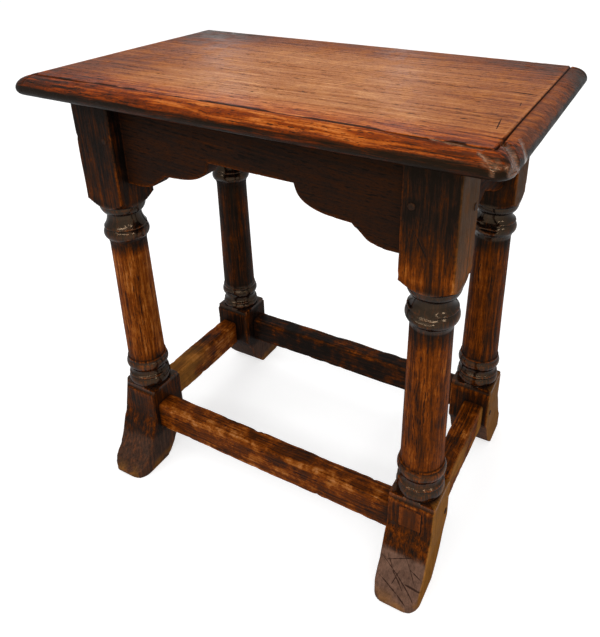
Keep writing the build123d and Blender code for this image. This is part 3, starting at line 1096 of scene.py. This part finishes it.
def make_oak_grain():
    """Growth rings, long open pores and fibres of oak, along the third axis of Run."""
    tree, b, into, out = new_group(
        "oak grain",
        (("Run", "Vector"), ("Heart", "Vector"), ("Ring Width", "Float"), ("Pore Width", "Float"),
         ("Pore Length", "Float")),
        [(title, "Float") for title in ("Rings", "Pores", "Fibre", "Streaks", "Cloud")],
    )
    # the grain bends a little, and the tree's heart sways from side to side
    bend = b.vector("MULTIPLY", into["Run"], (60.0, 60.0, 22.0))
    bend = b.vector("SUBTRACT", b.noise(bend, 1.0, 2.0, kind="Color"), (0.5, 0.5, 0.5))
    run = b.vector("MULTIPLY_ADD", bend, (0.0035, 0.0035, 0.0), into["Run"])
    slow = b.vector("MULTIPLY", run, (9.0, 9.0, 2.2))
    sway = b.maths("MULTIPLY", b.maths("SUBTRACT", b.noise(slow, 1.0, 2.0), 0.5), 0.02)
    flat = b.vector("MULTIPLY", b.vector("SUBTRACT", run, into["Heart"]), (1.0, 1.0, 0.0))
    radius = b.maths("ADD", b.vector("LENGTH", flat), sway)

    # rings of uneven width, their early wood patchy
    years = b.maths("DIVIDE", radius, into["Ring Width"])
    uneven = b.add("CombineXYZ")
    b.feed(uneven.inputs[0], b.maths("MULTIPLY", years, 0.35))
    uneven = b.noise(uneven.outputs[0], 1.0, 2.0)
    season = b.maths("FRACT", b.maths("MULTIPLY_ADD", uneven, 4.0, years))
    early = b.maths("MULTIPLY", b.ramp(season, 0.0, 0.12), b.ramp(season, 0.25, 0.7, 1.0, 0.0))
    patchy = b.ramp(b.noise(b.vector("MULTIPLY", run, (70.0, 70.0, 14.0)), 1.0, 3.0, 0.6), 0.3, 0.7)
    early = b.maths("MULTIPLY", early, b.maths("MULTIPLY_ADD", patchy, 0.8, 0.2))
    b.feed(out["Rings"], early)

    # coarse pores crowd the early wood, and fine ones lie everywhere
    across = b.maths("DIVIDE", 1.0, into["Pore Width"])
    lengthways = b.maths("DIVIDE", 1.0, into["Pore Length"])
    scale = b.add("CombineXYZ")
    for socket, value in zip(scale.inputs, (across, across, lengthways)):
        b.feed(socket, value)
    pore_space = b.vector("MULTIPLY", run, scale.outputs[0])
    coarse = b.cells(pore_space, 1.0)
    limit = b.maths("MULTIPLY_ADD", early, 0.26, 0.16)
    coarse_pores = b.ramp(b.maths("SUBTRACT", limit, coarse["Distance"]), 0.0, 0.10)
    fine = b.cells(pore_space, 2.6)
    fine_pores = b.ramp(fine["Distance"], 0.18, 0.34, 0.5, 0.0)
    b.feed(out["Pores"], b.maths("MAXIMUM", coarse_pores, fine_pores))
    b.feed(out["Fibre"], b.noise(b.vector("MULTIPLY", run, (900.0, 900.0, 40.0)), 1.0, 3.0, 0.6))
    streaks = b.noise(b.vector("MULTIPLY", run, (330.0, 330.0, 18.0)), 1.0, 4.0, 0.7)
    b.feed(out["Streaks"], b.ramp(streaks, 0.25, 0.75))
    b.feed(out["Cloud"], b.noise(b.vector("MULTIPLY", run, (30.0, 30.0, 9.0)), 1.0, 4.0, 0.6))
    return tree


def make_polish_colour():
    """The colour of waxed oak, from nearly black through red-brown and orange to tan."""
    tree, b, into, out = new_group("polished oak colour", (("Tone", "Float"),), (("Colour", "Color"),))
    ramp = b.add("ValToRGB")
    stops = (
        (0.00, (15, 10, 8)),
        (0.08, (30, 18, 13)),
        (0.18, (45, 22, 9)),
        (0.28, (64, 29, 5)),
        (0.40, (92, 41, 4)),
        (0.52, (119, 56, 9)),
        (0.64, (148, 83, 27)),
        (0.76, (167, 105, 55)),
        (0.88, (184, 127, 80)),
        (1.00, (210, 156, 112)),
    )
    elements = ramp.color_ramp.elements
    while len(elements) < len(stops):
        elements.new(0.5)
    for element, (spot, colour) in zip(elements, stops):
        element.position = spot
        element.color = paint(*colour)
    b.feed(ramp.inputs[0], into["Tone"])
    b.feed(out["Colour"], ramp.outputs["Color"])
    return tree


def make_rub():
    """Scratches and small knocks: a mask of fine lines that run any way, and one of broad rubs."""
    tree, b, into, out = new_group(
        "rubs and scratches",
        (("Place", "Vector"),),
        (("Scratches", "Float"), ("Rubs", "Float")),
    )
    total = None
    for turn in (0.5, 1.7, 2.6):
        spin = b.add("VectorRotate", rotation_type="EULER_XYZ")
        b.feed(spin.inputs["Vector"], into["Place"])
        spin.inputs["Rotation"].default_value = (turn, turn * 1.7, turn * 0.6)
        stretched = b.vector("MULTIPLY", spin.outputs[0], (700.0, 700.0, 30.0))
        off = b.maths("ABSOLUTE", b.maths("SUBTRACT", b.noise(stretched, 1.0, 1.0), 0.5))
        patchy = b.ramp(b.noise(spin.outputs[0], 90.0, 1.0), 0.5, 0.66)
        line = b.maths("MULTIPLY", b.ramp(off, 0.0, 0.018, 1.0, 0.0), patchy)
        total = line if total is None else b.maths("MAXIMUM", total, line)
    b.feed(out["Scratches"], total)
    b.feed(out["Rubs"], b.ramp(b.noise(into["Place"], 55.0, 4.0, 0.65), 0.42, 0.68))
    return tree


def make_crack():
    """A dark crack or knife mark between two places, its edges a little ragged."""
    tree, b, into, out = new_group(
        "crack",
        (("Place", "Vector"), ("From", "Vector"), ("To", "Vector"), ("Width", "Float")),
        (("Mask", "Float"),),
    )
    path = b.vector("SUBTRACT", into["To"], into["From"])
    offset = b.vector("SUBTRACT", into["Place"], into["From"])
    reach = b.vector("DOT_PRODUCT", path, path)
    along = b.vector("DOT_PRODUCT", offset, path)
    share = b.maths("DIVIDE", along, b.maths("MAXIMUM", reach, 1e-9), clamp=True)
    scaled = b.add("VectorMath", operation="SCALE")
    b.feed(scaled.inputs[0], path)
    b.feed(scaled.inputs["Scale"], share)
    spot = b.vector("ADD", into["From"], scaled.outputs[0])
    ragged = b.maths("SUBTRACT", b.noise(into["Place"], 260.0, 3.0, 0.6), 0.5)
    off = b.vector("DISTANCE", into["Place"], spot)
    off = b.maths("ADD", off, b.maths("MULTIPLY", ragged, 0.0016))
    from_middle = b.maths("ABSOLUTE", b.maths("MULTIPLY_ADD", share, 2.0, -1.0))
    taper = b.maths("SUBTRACT", 1.15, b.maths("POWER", from_middle, 3.0))
    wide = b.maths("MULTIPLY", into["Width"], taper)
    b.feed(out["Mask"], b.ramp(b.maths("DIVIDE", off, wide), 0.45, 1.0, 1.0, 0.0))
    return tree


oak_grain = make_oak_grain()
polish_colour = make_polish_colour()
rub = make_rub()
crack = make_crack()


def marks_mask(b, here, marks, scratches):
    """Where a piece's cracks and knife marks are, or None if it has none.

    marks holds (start, end, width) in mm.  scratches lie on the front of a foot, and their
    ends are given as (x, height)."""
    masks = []
    for start, end, width in marks:
        ends = {"From": [place * MM for place in start], "To": [place * MM for place in end]}
        masks.append(b.group(crack, Place=here, Width=width * MM, **ends)["Mask"])
    if scratches:
        parts = b.add("SeparateXYZ")
        b.feed(parts.inputs[0], here)
        in_front = b.ramp(parts.outputs[1], block_front - MM, block_front + MM, 1.0, 0.0)
        flat = b.vector("MULTIPLY", here, (1.0, 0.0, 1.0))
    for (x0, z0), (x1, z1), width in scratches:
        ends = {"From": (x0 * MM, 0, z0 * MM), "To": (x1 * MM, 0, z1 * MM)}
        mask = b.group(crack, Place=flat, Width=width * MM, **ends)["Mask"]
        masks.append(b.maths("MULTIPLY", mask, in_front))
    together = masks[0] if masks else None
    for mask in masks[1:]:
        together = b.maths("MAXIMUM", together, mask)
    return together


amber_glaze = (1.16, 0.76, 0.34, 1.0)
warm_gloss = (1.0, 0.68, 0.42, 1.0)
noted_masks = ("tone", "worn", "hollow", "seam", "bare", "raw", "warm", "turned", "golden")


class OldOak:
    """The masks of one finish of old oak, and the colour, gloss and relief made from them."""

    def __init__(self, tree, grain_at, strengths, dirt_and_shade, marks, scratches):
        b = self.b = Bench(tree)
        heart, ring_width, pore_width, pore_length = grain_at
        self.ring_share, pore_share, self.fibre, self.streaks, self.cloud = strengths
        self.here = b.add("TexCoord").outputs["Object"]
        self.run = b.noted("grain", vector=True)
        self.grain = b.group(
            oak_grain,
            Run=self.run,
            Heart=heart,
            Ring_Width=ring_width * MM,
            Pore_Width=pore_width * MM,
            Pore_Length=pore_length * MM,
        )
        self.rubs = b.group(rub, Place=self.here)
        self.noted = {name: b.noted(name) for name in noted_masks}
        self.pores = b.maths("MULTIPLY", self.grain["Pores"], pore_share)
        splinters = b.ramp(b.noise(self.here, 150.0, 3.0, 0.6), 0.2, 0.35)
        self.raw = b.maths("MULTIPLY", self.noted["raw"], splinters)
        self.marks = marks_mask(b, self.here, marks, scratches)
        # hollows and seams go darker: dirt, and painted shade where parts meet and the surface curves
        # in
        in_hollows = b.maths("MULTIPLY", self.noted["hollow"], 0.9)
        in_seams = b.maths("MULTIPLY", self.noted["seam"], 0.8)
        self.grime_and_shade = b.maths("MULTIPLY", b.maths("MAXIMUM", in_hollows, in_seams), dirt_and_shade, clamp=True)
        if self.marks is not None:
            in_marks = b.maths("MULTIPLY", self.marks, 0.9)
            self.grime_and_shade = b.maths("MAXIMUM", self.grime_and_shade, in_marks)
        self.clear_of_grime_and_shade = b.maths("SUBTRACT", 1.0, self.grime_and_shade)

    def tone(self, edge):
        """How pale the polished wood is, from 0 to 1, its arrises lighter by edge and its hollows and
        seams darker with dirt and painted shade.
        """
        b, grain, rubs = self.b, self.grain, self.rubs
        tone = b.maths("MULTIPLY_ADD", grain["Rings"], -self.ring_share, self.noted["tone"])
        shares = (
            (grain["Fibre"], self.fibre),
            (grain["Streaks"], self.streaks),
            (grain["Cloud"], self.cloud),
            (rubs["Rubs"], self.cloud * 0.4),
        )
        for mask, amount in shares:
            tone = b.maths("MULTIPLY_ADD", b.maths("SUBTRACT", mask, 0.5), amount, tone)
        patchy = b.ramp(b.noise(self.here, 300.0, 3.0, 0.6), 0.25, 0.6)
        ragged = b.maths("MULTIPLY", self.noted["worn"], patchy)
        tone = b.maths("MULTIPLY_ADD", ragged, edge, tone)
        tone = b.maths("MULTIPLY_ADD", rubs["Scratches"], 0.06, tone)
        tone = b.maths("SUBTRACT", tone, self.pores)
        dark_streaks = b.ramp(grain["Streaks"], 0.35, 0.75, 1.0, 0.0)
        soaked = b.maths("MULTIPLY", dark_streaks, self.noted["warm"])
        tone = b.maths("MULTIPLY_ADD", soaked, -0.20, tone)
        return b.maths("MULTIPLY", tone, self.clear_of_grime_and_shade, clamp=True)

    def dry_colour(self):
        """Grey-brown wood that has lost its polish."""
        b, grain = self.b, self.grain
        fibres = b.maths("MULTIPLY", grain["Fibre"], 0.25)
        tone = b.maths("MULTIPLY_ADD", grain["Streaks"], 0.35, fibres)
        patchy = b.noise(self.here, 130.0, 4.0, 0.7)
        tone = b.maths("MULTIPLY_ADD", patchy, 0.9, b.maths("SUBTRACT", tone, 0.25))
        tone = b.maths("MULTIPLY", tone, self.clear_of_grime_and_shade, clamp=True)
        return b.colour(tone, paint(46, 30, 24), paint(140, 106, 88))

    def straw_colour(self, tone):
        """Pale gold: painted light falling from the right, and wood worn pale."""
        b = self.b
        tone = b.maths("MULTIPLY_ADD", b.maths("SUBTRACT", tone, 0.3), 0.8, 0.62, clamp=True)
        return b.colour(tone, paint(52, 30, 12), paint(168, 112, 50))

    def chipped_colour(self):
        """Torn fibres, some dark, some brown and some that catch the light."""
        b = self.b
        flakes = b.noise(b.vector("MULTIPLY", self.run, (900.0, 900.0, 150.0)), 1.0, 3.0, 0.65)
        torn = b.colour(b.ramp(flakes, 0.40, 0.62), paint(38, 20, 13), paint(116, 62, 30))
        return b.colour(b.ramp(flakes, 0.62, 0.74), torn, paint(132, 116, 104))

    def colour(self, edge):
        """Polished wood, and over it what is glazed, bare, bleached or chipped."""
        b, noted = self.b, self.noted
        tone = self.tone(edge)
        amber = b.add("Mix", data_type="RGBA", blend_type="MULTIPLY")
        b.feed(amber.inputs[0], noted["warm"])
        b.feed(amber.inputs[6], b.group(polish_colour, Tone=tone)["Colour"])
        amber.inputs[7].default_value = amber_glaze
        colour = b.colour(b.maths("MULTIPLY", noted["bare"], 0.9), amber.outputs[2], self.dry_colour())
        colour = b.colour(noted["golden"], colour, self.straw_colour(tone))
        return b.colour(b.maths("MULTIPLY", self.raw, 0.85), colour, self.chipped_colour())

    def roughness(self, gloss):
        """Roughness gloss on whole polish, more in dirt and pores, less on turned rings and chips."""
        b, turned = self.b, self.noted["turned"]
        rough = b.maths("MULTIPLY_ADD", self.grime_and_shade, 0.25, gloss)
        rough = b.maths("MULTIPLY_ADD", self.noted["bare"], 0.25, rough)
        rough = b.maths("MULTIPLY_ADD", self.rubs["Rubs"], 0.10, rough)
        open_pores = b.maths("MULTIPLY", self.pores, b.maths("SUBTRACT", 1.0, turned, clamp=True))
        rough = b.maths("MULTIPLY_ADD", open_pores, 0.35, rough)
        rough = b.mix(turned, rough, b.maths("MULTIPLY_ADD", rough, 0.15, 0.10))
        return b.mix(self.raw, rough, 0.2)

    def shine(self, sheen, fade):
        """Strength of the gloss, the most on turned rings and chips, the least on dry wood."""
        b, noted = self.b, self.noted
        look = b.add("LayerWeight")
        look.inputs["Blend"].default_value = 0.5
        head_on = b.maths("SUBTRACT", 1.0, look.outputs["Facing"], clamp=True)
        shine = b.maths("MULTIPLY", b.maths("POWER", head_on, fade), sheen)
        for name, more in (("turned", 4.4), ("golden", -0.8), ("bare", -0.8)):
            shine = b.maths("MULTIPLY", shine, b.maths("MULTIPLY_ADD", noted[name], more, 1.0))
        return b.maths("MULTIPLY_ADD", self.raw, 0.45, shine)

    def relief(self):
        """Normals of fibres, open pores, scratches and cracks, nearly smooth on turned rings."""
        b, grain = self.b, self.grain
        height = b.maths("MULTIPLY", grain["Fibre"], 0.25)
        height = b.maths("SUBTRACT", height, b.maths("MULTIPLY", grain["Pores"], 0.7))
        height = b.maths("MULTIPLY_ADD", self.rubs["Scratches"], -0.15, height)
        uncut = b.maths("MULTIPLY_ADD", self.noted["turned"], -0.97, 1.0)
        height = b.maths("MULTIPLY", height, uncut)
        if self.marks is not None:
            height = b.maths("MULTIPLY_ADD", self.marks, -1.5, height)
        bump = b.add("Bump")
        bump.inputs["Strength"].default_value = 0.5
        bump.inputs["Distance"].default_value = 0.3 * MM
        b.feed(bump.inputs["Height"], height)
        return bump.outputs["Normal"]


def old_oak(name, grain_at, strengths, gloss, sheen, fade, edge, dirt_and_shade, marks=(), scratches=()):
    """One finish of old oak: grain, wear, dirt and painted shade, and marks over the colour that each
    piece notes.

    grain_at holds the heart of the tree, the width of a year's ring and the pores' width and
    length.  strengths says how far rings, pores, fibre, streaks and cloud each move the tone.
    gloss is the roughness of whole polish, sheen its strength and fade how fast that falls
    off towards a grazing look, edge how much an arris lightens, and the dirt setting how black
    the hollows and seams go, with dirt and painted shade."""
    finish = bpy.data.materials.new(name)
    finish.use_nodes = True
    shader = finish.node_tree.nodes["Principled BSDF"]
    wood = OldOak(finish.node_tree, grain_at, strengths, dirt_and_shade, marks, scratches)
    wood.b.feed(shader.inputs["Base Color"], wood.colour(edge))
    wood.b.feed(shader.inputs["Roughness"], wood.roughness(gloss))
    wood.b.feed(shader.inputs["Specular IOR Level"], wood.shine(sheen, fade))
    shader.inputs["Specular Tint"].default_value = warm_gloss
    wood.b.feed(shader.inputs["Normal"], wood.relief())
    return finish


# cracks and knife marks: start and end in mm, and width
seat_top = board_high.z / MM
block_front = leg_high.y - 2 * leg_half
front_face = block_front / MM
seat_marks = (
    ((197, 9, seat_top), (221, 7, seat_top), 1.3),
    ((211.6, -69.5, seat_top), (215.4, -99, seat_top), 0.6),
    ((213.7, -14.4, seat_top), (215.8, -32.4, seat_top), 0.5),
    ((183, -84, seat_top), (190, -82, seat_top), 1.0),
    ((-2, -92, seat_top), (2, -91.5, seat_top), 1.2),
    ((100, -12, seat_top), (105, -11.5, seat_top), 1.0),
    ((-204, -76, seat_top), (-199, -75.5, seat_top), 1.1),
    ((-200, 110, seat_top), (-196, 110.5, seat_top), 1.4),
)
leg_marks = (
    ((188.5, front_face, 66), (188.8, front_face, 99), 1.0),
    ((165, front_face, 99.3), (188.8, front_face, 99.3), 0.7),
    ((160.7, front_face, 407.7), (178.3, front_face, 376.8), 0.7),
    ((-178.8, front_face, 381.5), (-177.9, front_face, 353.7), 0.6),
    ((187.9, -111.9, 233.7), (190.8, -110.4, 187.9), 0.6),
    ((166, front_face, 65), (188, front_face, 64), 0.4),
)
# scratches on the front of the right front foot: (x, height) of both ends in mm, and width
foot_scratches = (
    ((153, 38), (198, 11), 0.6),
    ((158, 33), (186, 46), 0.5),
    ((178, 46), (194, 22), 0.5),
    ((167, 29), (183, 16), 0.7),
    ((184, 21), (202, 20), 1.0),
    ((156, 20), (190, 9), 0.45),
    ((160, 41), (172, 24), 0.4),
    ((170, 14), (176, 30), 0.35),
    ((186, 34), (199, 29), 0.6),
)
finishes = {
    "seat_oak": old_oak(
        "waxed seat oak", ((1.2, 0.2, 0.0), 4.4, 1.5, 10), (0.12, 0.50, 0.22, 0.22, 0.24),
        gloss=0.30, sheen=0.13, fade=1.5, edge=0.10, dirt_and_shade=0.8, marks=seat_marks,
    ),
    "rail_oak": old_oak(
        "dark rail oak", ((1.2, 0.3, 0.0), 4.2, 1.9, 13), (0.06, 0.40, 0.10, 0.14, 0.08),
        gloss=0.45, sheen=0.07, fade=2.0, edge=0.3, dirt_and_shade=0.7,
    ),
    "leg_oak": old_oak(
        "waxed leg oak", ((0.9, 0.4, 0.0), 4.4, 1.5, 16), (0.10, 0.40, 0.14, 0.42, 0.30),
        gloss=0.30, sheen=0.08, fade=2.2, edge=0.22, dirt_and_shade=0.8, marks=leg_marks,
        scratches=foot_scratches,
    ),
    "stretcher_oak": old_oak(
        "trodden oak", ((0.8, 0.4, 0.0), 4.0, 1.6, 12), (0.08, 0.34, 0.22, 0.34, 0.70),
        gloss=0.36, sheen=0.10, fade=2.5, edge=0.24, dirt_and_shade=0.7,
    ),
    "peg_oak": old_oak(
        "peg oak", ((0.9, 0.4, 0.0), 2.0, 1.0, 8), (0.06, 0.10, 0.10, 0.12, 0.08),
        gloss=0.35, sheen=0.2, fade=2.5, edge=0.12, dirt_and_shade=0.8,
    ),
    "patch_oak": old_oak(
        "patch oak", ((0.9, 0.4, 0.0), 3.2, 1.2, 10), (0.08, 0.14, 0.16, 0.18, 0.10),
        gloss=0.34, sheen=0.2, fade=3.0, edge=0.2, dirt_and_shade=0.6,
    ),
}


# ================================================================ putting the stool together
def flat_tone(level):
    """The same colour all over a piece, but for slow changes."""
    def tone(points):
        return level + 0.06 * (hills(points, 25 * MM, 7) - 0.5)
    return tone


# seeds of the first piece of each kind; the next piece has the next number
seat_seed, leg_seed, peg_seed, seat_peg_seed = 21, 31, 51, 61
rail_seed, stretcher_seed, patch_seed = 71, 81, 91
leg_peg_tone, seat_peg_tone, patch_tone = 0.08, 0.62, 0.34

seat = shape_seat(seat_seed)
age(seat, "seat_board", X, seat_seed, seat_tone, raw=corner_raw, warm=seat_warm)
place(seat, "seat_oak", "seat_board")

for number, name in enumerate(corners):
    leg = shape_leg(name, leg_seed + number)
    age(leg, "leg_" + name, Z, leg_seed + number, leg_tone(name), bare=foot_bare(name),
        turned=leg_turned, golden=leg_gold_light_and_wear(name))
    place(leg, "leg_oak", "leg_" + name)
    for kind in ("upper", "lower"):
        node = f"{kind}_pegs_{name}"
        pegs = shape_pegs(node, peg_seed + number, proud=0.5 * MM)
        age(pegs, "leg_" + name, Y, peg_seed + number, flat_tone(leg_peg_tone))
        place(pegs, "peg_oak", node)

seat_pegs = shape_pegs("seat_pegs", seat_peg_seed, proud=-0.1 * MM)
age(seat_pegs, "seat_board", Z, seat_peg_seed, flat_tone(seat_peg_tone))
place(seat_pegs, "peg_oak", "seat_pegs")

for number, node in enumerate(("front_rail", "back_rail", "left_rail", "right_rail")):
    axis = X if number < 2 else Y
    rail = shape_rail(node, axis, rail_seed + number)
    age(rail, node, axis, rail_seed + number, rail_tone_and_shade, tilt=0.06)
    place(rail, "rail_oak", node)

for number, node in enumerate(stretcher_tones):
    axis = X if node in ("front_stretcher", "back_stretcher") else Y
    stretcher = shape_stretcher(node, axis, stretcher_seed + number)
    age(stretcher, node, axis, stretcher_seed + number, stretcher_tone(node), golden=stretcher_gold_light_and_wear)
    place(stretcher, "stretcher_oak", node)

patch = shape_patch(patch_seed)
age(patch, "repair_patch", Z, patch_seed, flat_tone(patch_tone))
place(patch, "patch_oak", "repair_patch")


# ================================================================ floor, light and camera
floor_half = 9.0
floor_shade = 0.62                  # with as much glow again, it looks white
room_light = 0.62                   # how strongly the white room lights the stool


def seen_backdrop(b):
    """1 for rays that see the backdrop itself: straight, in a gloss or through glass."""
    path = b.add("LightPath")
    seen = b.maths("MAXIMUM", path.outputs["Is Camera Ray"], path.outputs["Is Glossy Ray"])
    return b.maths("MAXIMUM", seen, path.outputs["Is Transmission Ray"])


def make_floor():
    """A plain pale floor."""
    mesh = bpy.data.meshes.new("floor")
    sides = ((-1, -1), (1, -1), (1, 1), (-1, 1))
    floor_corners = [(x * floor_half, y * floor_half, 0) for x, y in sides]
    mesh.from_pydata(floor_corners, [], [(0, 1, 2, 3)])
    floor = bpy.data.objects.new("floor", mesh)
    bpy.context.scene.collection.objects.link(floor)
    pale = bpy.data.materials.new("pale floor")
    pale.use_nodes = True
    shader = pale.node_tree.nodes["Principled BSDF"]
    shader.inputs["Base Color"].default_value = (floor_shade, floor_shade, floor_shade, 1)
    shader.inputs["Roughness"].default_value = 0.9
    shader.inputs["Specular IOR Level"].default_value = 0.1
    shader.inputs["Emission Color"].default_value = (1, 1, 1, 1)
    b = Bench(pale.node_tree)
    b.feed(shader.inputs["Emission Strength"], b.maths("MULTIPLY", seen_backdrop(b), floor_shade))
    mesh.materials.append(pale)


def make_world():
    """White all round to look at, and a plain soft light on the stool."""
    world = bpy.data.worlds.new("white room")
    bpy.context.scene.world = world
    world.use_nodes = True
    b = Bench(world.node_tree)
    backdrop = world.node_tree.nodes["Background"]
    backdrop.inputs["Color"].default_value = (1, 1, 1, 1)
    b.feed(backdrop.inputs["Strength"], b.mix(seen_backdrop(b), room_light, 1.0))


def make_lamp(name, spot, target, size, power):
    """A soft rectangular lamp aimed at a place."""
    lamp = bpy.data.lights.new(name, "AREA")
    lamp.shape = "RECTANGLE"
    lamp.size, lamp.size_y = size
    lamp.energy = power
    holder = bpy.data.objects.new(name, lamp)
    bpy.context.scene.collection.objects.link(holder)
    holder.location = spot
    holder.rotation_euler = (Vector(target) - Vector(spot)).to_track_quat("-Z", "Y").to_euler()
    holder.visible_camera = False


camera_spot = Vector((323.8, -539.1, 630.2)) * MM
camera_turn = 0.49532               # to the left of straight back, in radians
camera_tip = -0.44984               # up, in radians
camera_roll = -0.0048
image_wide, image_tall = 600, 637   # in pixels
middle_x, middle_y = 336.1, 215.0   # the image's point that the lens looks straight at, in pixels
focal_pixels = 644.73
sensor = 36.0                       # width of the camera's sensor in its own millimetres


def make_camera():
    """The camera, from in front of the right front leg and above the seat."""
    data = bpy.data.cameras.new("camera")
    data.sensor_width = sensor
    data.lens = focal_pixels / image_tall * sensor
    data.shift_x = (image_wide / 2 - middle_x) / image_tall
    data.shift_y = (middle_y - image_tall / 2) / image_tall
    level = Vector((-sin(camera_turn), cos(camera_turn), 0))
    ahead = level * cos(camera_tip) + Vector((0, 0, sin(camera_tip)))
    right = Vector((cos(camera_turn), sin(camera_turn), 0))
    up = right.cross(ahead)
    rolled_right = right * cos(camera_roll) + up * sin(camera_roll)
    rolled_up = up * cos(camera_roll) - right * sin(camera_roll)
    camera = bpy.data.objects.new("camera", data)
    axes = Matrix((rolled_right, rolled_up, -ahead)).transposed()
    camera.matrix_world = Matrix.Translation(camera_spot) @ axes.to_4x4()
    bpy.context.scene.collection.objects.link(camera)
    bpy.context.scene.camera = camera


make_floor()
make_world()
# each lamp's name, place, aim, size and power
lamps = (
    ("key", (-1.0, -1.5, 2.1), (0, 0, 0.25), (0.9, 0.7), 10),
    ("strip lamp", (0.44, -1.63, 1.45), (0, 0, 0.3), (2.0, 0.06), 12),
    ("ceiling lamp", (0, 0.1, 3.0), (0, 0, 0.3), (1.2, 1.2), 15),
    ("side lamp", (1.7, -0.6, 1.3), (0, 0, 0.3), (0.2, 0.2), 4),
    ("window left", (-1.66, 1.99, 1.1), (0, 0, 0.4), (0.16, 0.9), 1.2),
    ("window right", (-0.90, 2.43, 1.1), (0, 0, 0.4), (0.12, 0.9), 0.9),
)
for lamp in lamps:
    make_lamp(*lamp)
make_camera()
bpy.context.scene.view_settings.view_transform = "Standard"
